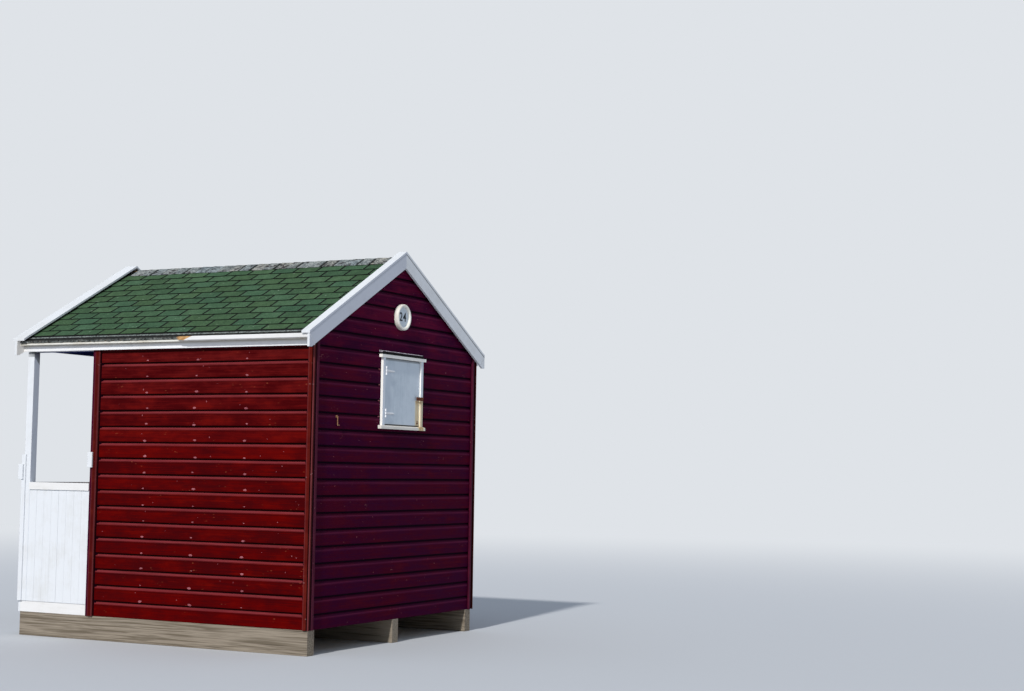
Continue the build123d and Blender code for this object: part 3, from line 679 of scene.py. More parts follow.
def board_feet(line, foot, top, upper=BOARD_COVER):
    """Heights of the boards' lower edges, with each one's cover, down and up from one line."""
    feet = []
    below = line
    while below > foot - BOARD_COVER:
        feet.append((below, BOARD_COVER if below < line - 0.001 else upper))
        below -= BOARD_COVER
    above = line + upper
    while above < top:
        feet.append((above, upper))
        above += upper
    return sorted(feet)


def gable_half(up):
    """Half the gable's width at a height, up to the roof boards' underside."""
    return max(0.002, min(SIDE_FACE, (APEX - up) / FALL))


def rear_half(up):
    """Half the rear boards' width, short of the corner posts and up to the roof boards."""
    return min(gable_half(up), REAR_BOARD_END)


def make_walls():
    """Shiplap on the four walls and the porch gable, let round the window and the doors."""
    draw = random.Random("walls")
    feet = board_feet(SIDE_LINE, WALL_FOOT, WALL_TOP)
    span = (SIDE_BOARD_START, SIDE_BOARD_END, WALL_FOOT, WALL_TOP)
    for name, place in (("right", ON_RIGHT), ("left", ON_LEFT)):
        shape = Shape()
        lay_boards(shape, place, feet, [span], WALL_TOP, draw, shaded=False)
        make_piece(name + "_shiplap", shape, SUNLIT_SIDE_PAINT, (name + "_wall",))

    feet = board_feet(GABLE_LINE, WALL_FOOT, APEX, UPPER_COVER)
    top = APEX - 0.01
    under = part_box("hatch_sill")[1].z - HATCH_LAP
    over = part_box("hatch_head")[0].z + HATCH_LAP
    left, right = (corner.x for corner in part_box("hatch_jambs"))
    wide = []
    split = []
    for foot, cover in feet:
        at_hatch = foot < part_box("hatch_head")[1].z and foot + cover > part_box("hatch_sill")[0].z
        (split if at_hatch else wide).append((foot, cover))
    shape = Shape()
    lay_boards(shape, ON_REAR, wide, [(mirrored(rear_half), rear_half, WALL_FOOT, top)], top, draw)
    lay_boards(shape, ON_REAR, split, [
        (mirrored(rear_half), left, WALL_FOOT, top), (right, rear_half, WALL_FOOT, top),
        (left, right, WALL_FOOT, under), (left, right, over, top)], top, draw)
    make_piece("rear_shiplap", shape, SHADED_GABLE_PAINT, (
        "rear_wall_left", "rear_wall_right", "rear_wall_under_hatch", "rear_gable"))

    left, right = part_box("door_jambs")[0].x + JAMB_LAP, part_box("door_jambs")[1].x - JAMB_LAP
    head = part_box("door_head")[1].z
    over = [(foot, cover) for foot, cover in feet if foot + cover > head - HEAD_LAP]
    beside = [board for board in feet if board not in over]
    shape = Shape()
    lay_boards(shape, ON_FRONT, beside, [
        (-SIDE_FACE, left, WALL_FOOT, top), (right, SIDE_FACE, WALL_FOOT, top)], top, draw)
    lay_boards(shape, ON_FRONT, over, [
        (mirrored(gable_half), left, WALL_FOOT, head), (right, gable_half, WALL_FOOT, head),
        (mirrored(gable_half), gable_half, head - HEAD_LAP, top)], top, draw)
    make_piece("front_shiplap", shape, SHADED_GABLE_PAINT, ("front_wall", "front_gable"))

    shape = Shape()
    high_boards = [(foot, cover) for foot, cover in feet if foot + cover > PORCH_GABLE_FOOT]
    span = (mirrored(gable_half), gable_half, PORCH_GABLE_FOOT, top)
    lay_boards(shape, ON_PORCH, high_boards, [span], top, draw)
    make_piece("porch_gable_shiplap", shape, SHADED_GABLE_PAINT, ("porch_gable",))


def on_slope(side, down, along, height):
    """A point on the roof: down the slope from the ridge, and height above the roof boards."""
    across = down * math.cos(ROOF_PITCH) + height * math.sin(ROOF_PITCH)
    return (side * across, along, DECK_APEX - down * math.sin(ROOF_PITCH) + height * math.cos(ROOF_PITCH))


def make_shingles():
    """Felt strips in half-bonded courses, each tab cut, curled and shaded by itself."""
    slant = (TAB_BUTT - TAB_THICK) / COURSE
    curl_reach = 0.04
    for side, name in ((1, "right"), (-1, "left")):
        draw = random.Random(name + " slope")
        shape = Shape()
        for course, slit in enumerate(SLIT_LINES):
            butt = SECOND_BUTT - EXPOSURE * (course - 1) if course else LOWEST_BUTT
            shown = EXPOSURE if course else butt - SECOND_BUTT
            along = slit - TAB_PITCH * TABS_BEFORE
            while along < ROOF_END:
                start = max(along + TAB_SLIT / 2, ROOF_START)
                stop = min(along + TAB_PITCH - TAB_SLIT / 2, ROOF_END)
                along += TAB_PITCH
                if stop - start < NARROWEST_TAB:
                    continue
                tone = draw.random()
                skew = draw.uniform(-0.0025, 0.0025)
                lift = [draw.uniform(0, 0.0025) for _ in range(2)]
                rings = []
                grime_and_shade = []
                cut = 0.0035 / (stop - start)
                for part in (0, cut, 0.25, 0.5, 0.75, 1 - cut, 1):
                    spot = start + (stop - start) * part
                    ripple = 0.002 * wave(spot * 6, course, 4)
                    low = butt + skew * (part - 0.5) * 2 + ripple
                    curl = lift[0] * (1 - part) ** 2 + lift[1] * part ** 2
                    ring = [
                        on_slope(side, low, spot, TAB_BUTT - TAB_THICK + curl),
                        on_slope(side, low, spot, TAB_BUTT + curl)]
                    for back in (0.004, curl_reach, shown - 0.009, shown - 0.002, COURSE + 0.02):
                        ease = curl * max(0.0, 1 - back / curl_reach)
                        ring.append(on_slope(side, butt - back, spot, TAB_BUTT - slant * back + ease))
                    ring.append(on_slope(side, butt - COURSE - 0.02, spot, 0.0005))
                    rings.append(ring)
                    # Darkening: a butt's cut face and a tab's cut ends are black felt; the band just below
                    # the next butt is dirt and painted shade, and the part hidden under it is painted shade
                    # that shows through the slits
                    edge = 0.8 if part in (0, 1) else 0.0
                    grime_and_shade += [1.0, max(edge, 0.3), edge, edge, edge, 1.0, 1.0, 1.0]
                shape.loft(rings, tone, grime_and_shade)
        make_piece(name + "_felt_tabs", shape, GREEN_FELT, (name + "_shingles",))
        make_under_felt(side, name)


def make_under_felt(side, name):
    """Black felt under the tabs, turned down over the boards' edge and ragged there."""
    shape = Shape()
    steps = 260
    rings = []
    for step in range(steps + 1):
        spot = ROOF_START + (ROOF_END - ROOF_START) * step / steps
        ruffle = 0.0020 * wave(spot * 14, side, 2)
        fringe = 0.008 * wave(spot * 38, side, 7)
        drop = 0.018 + 0.009 * wave(spot * 24, side, 5)
        ring = [on_slope(side, down, spot, height) for down, height in (
            (0.03, 0.0005), (0.03, 0.003), (LOWEST_BUTT - 0.01, 0.0042), (LOWEST_BUTT + 0.020, 0.0046),
            (LOWEST_BUTT + 0.027, 0.0050), (LOWEST_BUTT + 0.046 + fringe, 0.0056),
            (LOWEST_BUTT + 0.056 + fringe, 0.0045))]
        edge_x, _, edge_z = on_slope(side, SLOPE_LENGTH + 0.003, spot, 0.005 + ruffle)
        inner_x, _, inner_z = on_slope(side, SLOPE_LENGTH - 0.0005, spot, 0.0)
        foot = edge_z - drop
        ring += [(edge_x, spot, edge_z), (edge_x + side * ruffle, spot, foot), (inner_x, spot, foot)]
        rings.append(ring + [(inner_x, spot, inner_z)])
    # Darkening: painted shade under the tabs, which shows through the lowest slits, and just below the
    # lowest butts; black felt at the ragged edge. Paleness: a rubbed band of granules
    grime_and_shade = [1, 1, 1, 0.9, 0, 0, 0.8, 0.35, 0.1, 0, 0]
    shape.loft(rings, 0.5, grime_and_shade, [0, 0, 0, 0, 0.9, 0.8, 0.2, 0.2, 0.5, 0, 0])
    make_piece(name + "_under_felt", shape, BLACK_FELT, slot="green_mineral_felt")


def make_verge_felt():
    """Black felt turned up inside the barge boards, under their caps, darkened further as painted shade in
    the gap under the caps.
    """
    section = [
        (0.0004, 0.009), (0.0004, 0.0235), (0.004, 0.0235), (0.008, 0.012), (0.035, 0.0105),
        (0.035, 0.009)]
    shape = Shape()
    for face, inward in ((ROOF_START, 1), (ROOF_END, -1)):
        for side in (1, -1):
            shape.run(
                section, (0.02, SLOPE_LENGTH * 0.5, SLOPE_LENGTH - 0.004),
                lambda step, height, down: on_slope(side, down, face + inward * step, height), 0.1, [0.9])
    make_piece("verge_felt", shape, BLACK_FELT, slot="green_mineral_felt")


def make_ridge_capping():
    """Single tabs folded over the ridge, each lapping the one before it."""
    low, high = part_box("ridge_capping")
    draw = random.Random("ridge")
    shape = Shape()
    along = low.y
    while along < high.y - 0.02:
        end = min(along + CAP_LENGTH, high.y)
        tone = draw.random()
        skew = draw.uniform(-0.006, 0.006)
        left, right = (CAP_REACH + draw.uniform(-0.004, 0.004) for _ in range(2))
        rings = []
        for part in (0.0, 0.03, 0.10, 0.36, 0.62, 1.0):
            rise = 0.0105 - 0.0065 * part
            fold = []
            for side, down in ((-1, left), (-1, 0.06), (-1, 0.014), (1, 0.014), (1, 0.06), (1, right)):
                fold.append((side, down, along + (end - along) * part + skew * down / CAP_REACH))
            rings.append(
                [on_slope(*corner, rise + 0.002) for corner in fold]
                + [on_slope(*corner, rise - 0.002) for corner in reversed(fold)])
        # A cap is darkened along the edge that lies on the cap before it and towards the next cap's edge:
        # dirt and painted shade of the laps
        weight = draw.uniform(0.1, 0.9)
        lapped = draw.uniform(0.2, 0.7)
        grime_and_shade = []
        for share in (lapped, lapped * 0.4, 0.0, 0.0, weight, 1.0):
            grime_and_shade += [share] * len(rings[0])
        shape.loft(rings, tone, grime_and_shade)
        along += CAP_EXPOSURE
    make_piece("ridge_felt_caps", shape, GREY_FELT, ("ridge_capping",))


def outline_of(node, side):
    """The corners of a barge board's face, as (x, z) in order round it."""
    corners = {(round(v.co.x, 5), round(v.co.z, 5)) for v in frame["nodes"][node].data.vertices}
    middle_x = sum(x for x, _ in corners) / len(corners)
    middle_z = sum(z for _, z in corners) / len(corners)
    return sorted(corners, key=lambda c: math.atan2(c[1] - middle_z, side * (c[0] - middle_x)))


def half_plane(outline, point, normal):
    """The part of an outline on the side of a line that its normal points to."""
    return cut_away(
        outline, lambda corner: sum((corner[i] - point[i]) * normal[i] for i in (0, 1)))


def shrunk(outline, by):
    """An outline drawn in by a small step towards its middle, corner by corner."""
    count = len(outline)
    drawn = []
    for index in range(count):
        before = Vector(outline[index - 1])
        here = Vector(outline[index])
        after = Vector(outline[(index + 1) % count])
        into = (here - before).normalized()
        out = (after - here).normalized()
        turn = into.x * out.y - into.y * out.x
        away = (out - into) * (by / max(abs(turn), 0.2))
        drawn.append((here.x + away.x, here.y + away.y))
    return drawn


def plate(shape, outline, back, front, ease, tone=0.5, grime_and_shade=None):
    """A board of that outline between two places along the hut, its front edges eased."""
    step = math.copysign(ease, front - back)
    rings = [[(x, back, z) for x, z in outline]]
    rings.append([(x, front - step, z) for x, z in outline])
    rings.append([(x, front, z) for x, z in shrunk(outline, ease)])
    shape.loft(rings, tone, grime_and_shade)


def make_barges():
    """Barge boards, the rear ones with the wedge let into the foot, and their caps."""
    for end in ("front", "rear"):
        for hand, side in (("left", -1), ("right", 1)):
            node = f"{end}_{hand}_barge"
            cap = eased(node + "_cap", WHITE_ACROSS)
            if end == "front":
                # Painted light: the front barges' rear faces take a lighter white
                two_tone(eased(node, WHITE_ACROSS), TRIM_WHITE_PAINTED_LIGHT)
                continue
            low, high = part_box(node)
            outline = outline_of(node, side)
            seam = Vector((side * WEDGE_TOP[0], WEDGE_TOP[1]))
            run = Vector((side * WEDGE_FOOT[0], WEDGE_FOOT[1])) - seam
            inward = Vector((-side * abs(run.y), abs(run.x))).normalized()
            main = half_plane(outline, seam + inward * WEDGE_GAP, inward)
            wedge = half_plane(outline, seam - inward * WEDGE_GAP, -inward)
            # Dirt and the cap's painted shadow sit along the joint with the cap
            upward = Vector((side * math.sin(ROOF_PITCH), math.cos(ROOF_PITCH)))
            joint = Vector((0, high.z)) - upward * CAP_JOINT
            shape = Shape()
            sooty_and_shaded = half_plane(main, joint, upward)
            plate(shape, sooty_and_shaded, low.y, high.y, 0.0008, 0.4, [0.6 if side < 0 else 0.15])
            plate(shape, half_plane(main, joint, -upward), low.y, high.y, 0.0015, 0.4)
            plate(shape, wedge, low.y, high.y, 0.0015, 0.7)
            boards = make_piece(node + "_boards", shape, WHITE_ACROSS, (node,))
            # Painted shade: one rear barge board and its cap take a darker, bluer white on their rear faces
            if side > 0:
                two_tone(cap, WHITE_BARGE_SHADE)
                two_tone(boards, WHITE_BARGE_SHADE)


def make_drip_strips():
    """Drip strips under the felt's edge. The right one has snapped off, down to bare wood."""
    low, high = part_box("drip_strips")
    size = high - low
    deep = high.x - DECK_EDGE
    slope = BREAK_HIGH - BREAK_LOW
    section = [
        (DECK_EDGE, low.z), (high.x - 0.002, low.z), (high.x, low.z + 0.002), (high.x, high.z - 0.003),
        (high.x - 0.003, high.z), (DECK_EDGE, high.z)]
    shape = Shape()
    for side in (1, -1):
        rings = []
        for step in range(13):
            ring = []
            for x, z in section:
                start = BREAK_LOW + slope * (z - low.z) / size.z if side > 0 else low.y
                spot = start + (high.y - start) * step / 12
                sag = 0.0007 * wave(spot * 2, side, 3)
                ring.append((side * x, spot, z + sag))
            rings.append(ring)
        shape.loft(rings, 0.5)
    make_piece("drip_strips_sound", shape, WHITE_ALONG, ("drip_strips",))

    draw = random.Random("splinters")
    shape = Shape()
    columns = 4
    rows = 7
    for column in range(columns):
        for row in range(rows):
            x0, x1 = (DECK_EDGE + deep * (column + more) / columns for more in (0, 1))
            z0, z1 = (low.z + size.z * (row + more) / rows for more in (0, 1))
            root = BREAK_LOW + slope * row / rows + 0.004
            tip = BREAK_TIP + (0.055 if row == 0 else 0.0) + draw.uniform(0.0, 0.022)
            middle_x = (x0 + x1) / 2
            middle_z = z0 + (z1 - z0) * draw.uniform(0.2, 0.6)
            rings = []
            for thin, reach in ((0.0, 0.0), (draw.uniform(0.05, 0.25), 0.75), (0.8, 1.0)):
                spot = root + (tip - root) * reach
                rings.append([
                    (x + (middle_x - x) * thin, spot, z + (middle_z - z) * thin)
                    for x, z in ((x0, z0), (x1, z0), (x1, z1), (x0, z1))])
            shape.loft(rings, draw.random())
    make_piece("drip_strip_broken_end", shape, BARE_TIMBER, slot="white_gloss_paint")


def eased_rectangle(left, low, right, high, cut):
    """The eight corners of a rectangle whose corners are cut, in order round it."""
    return [
        (left, low + cut), (left + cut, low), (right - cut, low), (right, low + cut),
        (right, high - cut), (right - cut, high), (left + cut, high), (left, high - cut)]


def upright(shape, section, low, high, tone, grime_and_shade=None, worn_and_highlight=None):
    """A strip of that (x, y) section, slightly bowed along its height."""
    steps = 12
    rings = []
    for step in range(steps + 1):
        up = low + (high - low) * step / steps
        drift = 0.0007 * wave(up * 1.5, section[0][1] * 9, 6)
        rings.append([(x + math.copysign(drift, x), y, up) for x, y in section])
    shape.loft(rings, tone, grime_and_shade, worn_and_highlight)


def make_corners():
    """Corner boards: battens with pale arrises on the side walls, partly wear and partly painted highlight,
    strips on the gable, and posts behind the gaps.
    """
    low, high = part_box("rear_corner_boards")
    front_low, front_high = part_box("front_corner_boards")
    out = high.x
    rear = (low.z, high.z - 0.03)
    front = (front_low.z, front_high.z - 0.01)
    battens, strips, posts = Shape(), Shape(), Shape()
    rear_joint = 1.5315
    front_joint = -0.73
    strip_in = REAR_BOARD_END - 0.002
    strip_out = strip_in + 0.030
    post_in = 1.29

    rear_plank = [
        (SIDE_FACE, low.y), (out - 0.0035, low.y), (out - 0.0015, low.y + 0.003),
        (out - 0.0015, low.y + 0.012), (out - 0.0015, rear_joint - 0.0065),
        (out - 0.005, rear_joint - 0.0035), (SIDE_FACE, rear_joint - 0.0035)]
    rear_arris = [
        (SIDE_FACE, rear_joint + 0.0035), (out - 0.004, rear_joint + 0.0035),
        (out - 0.001, rear_joint + 0.0065), (out - 0.001, high.y - 0.006), (out - 0.006, high.y - 0.001),
        (SIDE_FACE, high.y - 0.001)]
    rear_strip = [
        (strip_in, REAR_FACE - 0.01), (strip_in, high.y - 0.004), (strip_in + 0.002, high.y - 0.002),
        (strip_out - 0.002, high.y - 0.002), (strip_out, high.y - 0.004), (strip_out, REAR_FACE - 0.01)]
    rear_post = [
        (post_in, 1.47), (SIDE_FACE - 0.004, 1.47), (SIDE_FACE - 0.004, rear_joint + 0.002),
        (post_in, rear_joint + 0.002)]
    front_strip = [
        (post_in + 0.01, front_low.y), (out - 0.010, front_low.y), (out - 0.008, front_low.y + 0.003),
        (out - 0.008, front_joint - 0.001), (post_in + 0.01, front_joint - 0.001)]
    front_batten = [
        (SIDE_FACE, front_joint + 0.001), (out - 0.006, front_joint + 0.001),
        (out - 0.001, front_joint + 0.006), (out - 0.001, front_joint + 0.015),
        (out - 0.001, front_joint + 0.040), (out - 0.001, front_joint + 0.048),
        (out - 0.005, front_high.y), (SIDE_FACE, front_high.y)]
    front_post = [
        (post_in + 0.01, front_joint), (SIDE_FACE - 0.006, front_joint),
        (SIDE_FACE - 0.006, front_joint + 0.08), (post_in + 0.01, front_joint + 0.08)]

    # The battens' edges at the joints and on the faces that look to the rear are darkened as painted shade,
    # and the posts behind the gaps are darkened near black as shade
    for side in (1, -1):
        for shape, section, ends, tone, grime_and_shade, worn_and_highlight in (
                (battens, rear_plank, rear, 1.0, [0, 0, 0, 0, 0.2, 0.9, 1], [0, 0.4, 0.4, 0, 0, 0, 0]),
                (battens, rear_arris, rear, 0.6, [1, 0.9, 0.3, 0, 0.4, 0.8], [0, 0, 0.5, 0.95, 0.3, 0]),
                (strips, rear_strip, rear, 0.6, None, [0, 0.1, 0.35, 0.35, 0.5, 0]),
                (posts, rear_post, rear, 0.3, [0.8], None),
                (strips, front_strip, front, 0.4, None, [0, 0.2, 0, 0, 0]),
                (battens, front_batten, front, -0.9, None, [0, 0.5, 0.45, 0, 0, 0.35, 0.5, 0]),
                (posts, front_post, front, 0.3, [0.9], None)):
            upright(shape, [(side * x, y) for x, y in section], *ends, tone, grime_and_shade, worn_and_highlight)
    nodes = ("rear_corner_boards", "front_corner_boards")
    make_piece("corner_battens", battens, BATTEN_PAINT, nodes)
    make_piece("corner_strips", strips, SHADED_BATTEN_PAINT, slot="red_gloss_paint")
    make_piece("corner_posts", posts, SHADED_BATTEN_PAINT, slot="red_gloss_paint")


def make_frame():
    """Studs and plates inside the boards, which carry them."""
    shape = Shape()
    deep = 0.05
    wide = 0.047
    window_stud = 0.36
    outer_stud = 0.82
    inside = SIDE_FACE - BOARD_THICK - 0.002
    rear = REAR_FACE - BOARD_THICK - 0.002
    front = FRONT_FACE + BOARD_THICK + 0.002
    head = WALL_TOP - 0.09

    def member(low, high):
        """An upright or a rail with its long edges eased."""
        axis = max(range(3), key=lambda i: high[i] - low[i])
        a, b = (i for i in range(3) if i != axis)
        shape.run(
            eased_rectangle(low[a], low[b], high[a], high[b], 0.002), (low[axis], high[axis]),
            lambda u, v, end: (u, v)[:axis] + (end,) + (u, v)[axis:])

    for side in (1, -1):
        near, far = sorted((side * inside, side * (inside - deep)))
        for up in (WALL_FOOT, head - deep):
            member((near, front, up), (far, rear, up + deep))
        for step in range(-1, 4):
            spot = min(max(STUD_FIRST + STUD_PITCH * step, front + 0.001), rear - wide)
            member((near, spot, WALL_FOOT + deep), (far, spot + wide, head - deep))
    for side in (1, -1):
        for across in (window_stud, outer_stud):
            near, far = sorted((side * across, side * (across + wide)))
            member((near, rear - deep, WALL_FOOT + deep), (far, rear, head - deep))
    for up in (WALL_FOOT, head - deep):
        member((-inside + deep, rear - deep, up), (inside - deep, rear, up + deep))
    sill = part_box("hatch_shutter")[0].z
    member((-window_stud, rear - deep, sill - deep), (window_stud, rear, sill - 0.001))
    make_piece("wall_framing", shape, TIMBER_Z, slot="raw_softwood")


def matchboards(shape, place, spans, pitch, thick, draw, groove=0.004, soot_and_shade=0.35):
    """Upright boards with a V groove at each joint. Spans are (start, stop, low, high)."""
    for start, stop, low, high in spans:
        count = max(1, round((stop - start) / pitch))
        width = (stop - start) / count
        for index in range(count):
            a0 = start + width * index + 0.0003
            a1 = start + width * (index + 1) - 0.0003
            proud = draw.uniform(0, 0.0008)
            section = [
                (a0, thick), (a0, groove), (a0 + groove * 0.8, proud), (a1 - groove * 0.8, proud),
                (a1, groove), (a1, thick)]
            grime_and_shade = [soot_and_shade, soot_and_shade, 0.0, 0.0, soot_and_shade, soot_and_shade]
            shape.run(section, (low, (low + high) / 2, high), place, draw.random(), grime_and_shade)


def floor_boards(shape, low, high, draw):
    """Boards along the hut, with a gap between them and their upper edges eased."""
    count = max(1, round((high.x - low.x) / FLOOR_PITCH))
    width = (high.x - low.x) / count
    for index in range(count):
        x0 = low.x + width * index + 0.0015
        x1 = low.x + width * (index + 1) - 0.0015
        top = high.z - draw.uniform(0, 0.0012)
        section = [
            (x0, low.z), (x0, top - 0.002), (x0 + 0.002, top), (x1 - 0.002, top), (x1, top - 0.002),
            (x1, low.z)]
        lengthways = (low.y, (low.y + high.y) / 2, high.y)
        shape.run(section, lengthways, lambda x, z, y: (x, y, z), draw.random())


def make_posts():
    """Porch posts, with the eaves' shadow painted on their heads, darker on their faces that look to the
    rear, with its edge leaning across them.
    """
    low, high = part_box("porch_posts")
    inner = -low.x - (high.y - low.y)
    section = eased_rectangle(inner, low.y, high.x, high.y, 0.0015)
    leaning = (1, 1, 0, 0, 0, 0, 1, 1)
    sooty_and_shaded = high.z - POST_SHADOW_DEPTH
    shape = Shape()
    for side in (1, -1):
        rings = []
        grime_and_shade = []
        for up, lean, soot_and_shade in (
                (low.z, 0, 0), (low.z + 0.7, 0, 0), (high.z - 0.3, 0, 0), (sooty_and_shaded, POST_SHADOW_LEAN, 0),
                (sooty_and_shaded + 0.005, POST_SHADOW_LEAN, 0.5), (high.z - 0.012, 0, 0.6), (high.z, 0, 0.85)):
            rings.append([(side * x, y, up - lean * far) for (x, y), far in zip(section, leaning)])
            grime_and_shade += [soot_and_shade * (1.25 if y > high.y - 0.002 else 0.62) for _, y in section]
        shape.loft(rings, 0.5, grime_and_shade)
    posts = make_piece("porch_post_timbers", shape, WHITE_UPRIGHT, ("porch_posts",))
    # Their faces that look to the rear take a lighter, bluer white: painted light on the shaded side
    two_tone(posts, WHITE_POST_SHADE)


def make_porch():
    """The porch: boarded panels, posts, rails, beams and floor."""
    draw = random.Random("porch")
    low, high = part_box("side_panels")
    front_low, front_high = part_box("front_panels")
    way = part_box("newels")[1].x - 0.06
    side_spans = [
        (low.y, PANEL_JOINT - 0.0004, low.z, high.z), (PANEL_JOINT + 0.0004, high.y, low.z, high.z)]
    front_spans = [
        (front_low.x, -way, front_low.z, front_high.z), (way, front_high.x, front_low.z, front_high.z)]
    for name, place, spans, nodes in (
            ("side", on_wall("x", high.x, 1), side_spans, ("side_panels",)),
            ("side_left", on_wall("x", low.x, -1), side_spans, ()),
            ("front", on_wall("y", front_low.y, -1), front_spans, ("front_panels",))):
        shape = Shape()
        matchboards(shape, place, spans, PANEL_PITCH, PANEL_THICK, draw, groove=0.0013, soot_and_shade=0.12)
        make_piece(name + "_panel_boards", shape, WHITE_UPRIGHT, nodes, slot="white_gloss_paint")
    make_posts()
    for node in ("post_battens", "newels", "storm_board_cleats"):
        eased(node, WHITE_UPRIGHT)
    two_tone(eased("porch_beams", WHITE_ALONG), CEILING_PAINT, (0, 0, -1))
    two_tone(eased("tie_beam", WHITE_ACROSS), CEILING_PAINT)
    eased("porch_rails", WHITE_ALONG)
    eased("porch_side_rims", WHITE_ALONG)
    eased("porch_rim", WHITE_ACROSS)
    shape = Shape()
    floor_boards(shape, *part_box("porch_floor"), draw)
    make_piece("porch_floor_boards", shape, GREYED_TIMBER, ("porch_floor",))


def make_doors():
    """The pair of boarded doors in their frame."""
    draw = random.Random("doors")
    # The door boards take the oxblood as it looks in shade
    for node in ("right_door", "left_door"):
        low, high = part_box(node)
        shape = Shape()
        face = on_wall("y", low.y, -1)
        matchboards(shape, face, [(low.x, high.x, low.z, high.z)], DOOR_PITCH, high.y - low.y, draw)
        make_piece(node + "_boards", shape, SHADED_BATTEN_PAINT, (node,))
    # Painted shade: the frame's faces that look to the front take the darker oxblood
    for node in ("door_jambs", "door_head"):
        two_tone(eased(node, BATTEN_PAINT), SHADED_BATTEN_PAINT, (0, -1, 0))
    eased("door_threshold", TIMBER_X)


def make_base():
    """Skids, joists and the room's floor, and the roof boards with the porch's painted ceiling."""
    draw = random.Random("base")
    eased("skids", GREYED_TIMBER, 0.004)
    eased("floor_joists", TIMBER_X, 0.002)
    eased("ridge_board", TIMBER_Y, 0.002)
    shape = Shape()
    floor_boards(shape, *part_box("room_floor"), draw)
    make_piece("room_floor_boards", shape, TIMBER_Y, ("room_floor",))
    count = 12
    gap = 0.0012
    cut = 0.003
    thick = 0.018
    coat = 0.0025
    width = (SLOPE_LENGTH - 0.012) / count
    whole_roof = (ROOF_START, 0, ROOF_END)
    porch_only = (PORCH_FACE + 0.024, FRONT_FACE - 0.001)
    ceiling = Shape()
    for side, name in ((1, "right"), (-1, "left")):
        shape = Shape()
        for index in range(count):
            near = 0.010 + width * index + gap
            far = 0.010 + width * (index + 1) - gap
            for piece, top, edge, under, ends in (
                    (shape, 0, cut - thick, -thick, whole_roof),
                    (ceiling, -thick, -thick - 0.0005, -thick - coat, porch_only)):
                section = [
                    (near, top), (far, top), (far, edge), (far - cut, under), (near + cut, under),
                    (near, edge)]
                piece.run(
                    section, ends, lambda down, height, spot: on_slope(side, down, spot, height),
                    draw.random())
        make_piece(name + "_roof_deck", shape, TIMBER_Y, (name + "_roof_boards",))
    make_piece("porch_ceiling", ceiling, CEILING_PAINT, slot="raw_softwood")


def make_hatch():
    """The window's frame, its shutter with a shadow gap at the foot, hinges and drip board."""
    # Painted light and shade: the jambs' sunlit faces take a near-white and their rear faces a darker,
    # bluer white; the head takes a near-white
    two_tone(eased("hatch_jambs", WHITE_PAINTED_HIGHLIGHT, 0.0008), JAMB_WHITE_PAINTED_SHADE)
    eased("hatch_head", TRIM_WHITE_PAINTED_LIGHT)
    eased("hatch_sill", SILL_WHITE)
    low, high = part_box("hatch_shutter")
    shape = Shape()
    # The third figure darkens each corner: painted shade in the gap at the foot, and the head's painted
    # shadow along the top
    section = [
        (low.y, low.z, 1), (high.y - 0.006, low.z, 1), (high.y - 0.006, low.z + 0.008, 1),
        (high.y - 0.0012, low.z + 0.009, 0.5), (high.y, low.z + 0.011, 0), (high.y, low.z + 0.016, 0),
        (high.y, high.z - 0.022, 0), (high.y, high.z - 0.014, 0.55), (high.y, high.z - 0.001, 0.7),
        (low.y, high.z, 1)]
    rings = []
    for inset, back in ((0, 0.0015), (0.0012, 0), (0.006, 0)):
        rings.append([(low.x + inset, y - back, z) for y, z, _ in section])
    for inset, back in ((0.006, 0), (0.0012, 0), (0, 0.0015)):
        rings.append([(high.x - inset, y - back, z) for y, z, _ in section])
    shape.loft(rings, 0.5, [mark for _, _, mark in section])
    make_piece("hatch_shutter_board", shape, SHUTTER_PAINT, ("hatch_shutter",))

    low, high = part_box("hatch_drip_board")
    shape = Shape()
    rings = []
    for step in range(9):
        x = low.x + (high.x - low.x) * step / 8
        fray = 0.002 * wave(x * 30, 3, 1)
        rings.append([
            (x, low.y, low.z), (x, high.y - 0.003, low.z), (x, high.y, low.z + 0.004),
            (x, high.y, high.z - 0.013 + fray), (x, high.y - 0.006, high.z - 0.009 + fray),
            (x, high.y - 0.012, high.z - 0.005), (x, low.y, high.z)])
    # Darker on its back, underside and front, paler on its top
    shape.loft(rings, 0.5, [1, 1, 1, 1, 0, 0, 0], [0, 0, 0, 0.6, 1, 1, 1])
    make_piece("hatch_drip_felt", shape, DRIP_FELT, ("hatch_drip_board",))
    make_hinges()

    low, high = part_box("hatch_shutter")
    draw = random.Random("bolt")
    shape = Shape()
    for up, radius in ((low.z + 0.030, 0.011), (low.z + 0.050, 0.006)):
        stud(shape, ON_REAR, low.x + 0.03, REAR_FACE - high.y, up, radius, 0.006, draw)
    make_piece("hatch_bolt", shape, RUST, slot="rusty_steel")


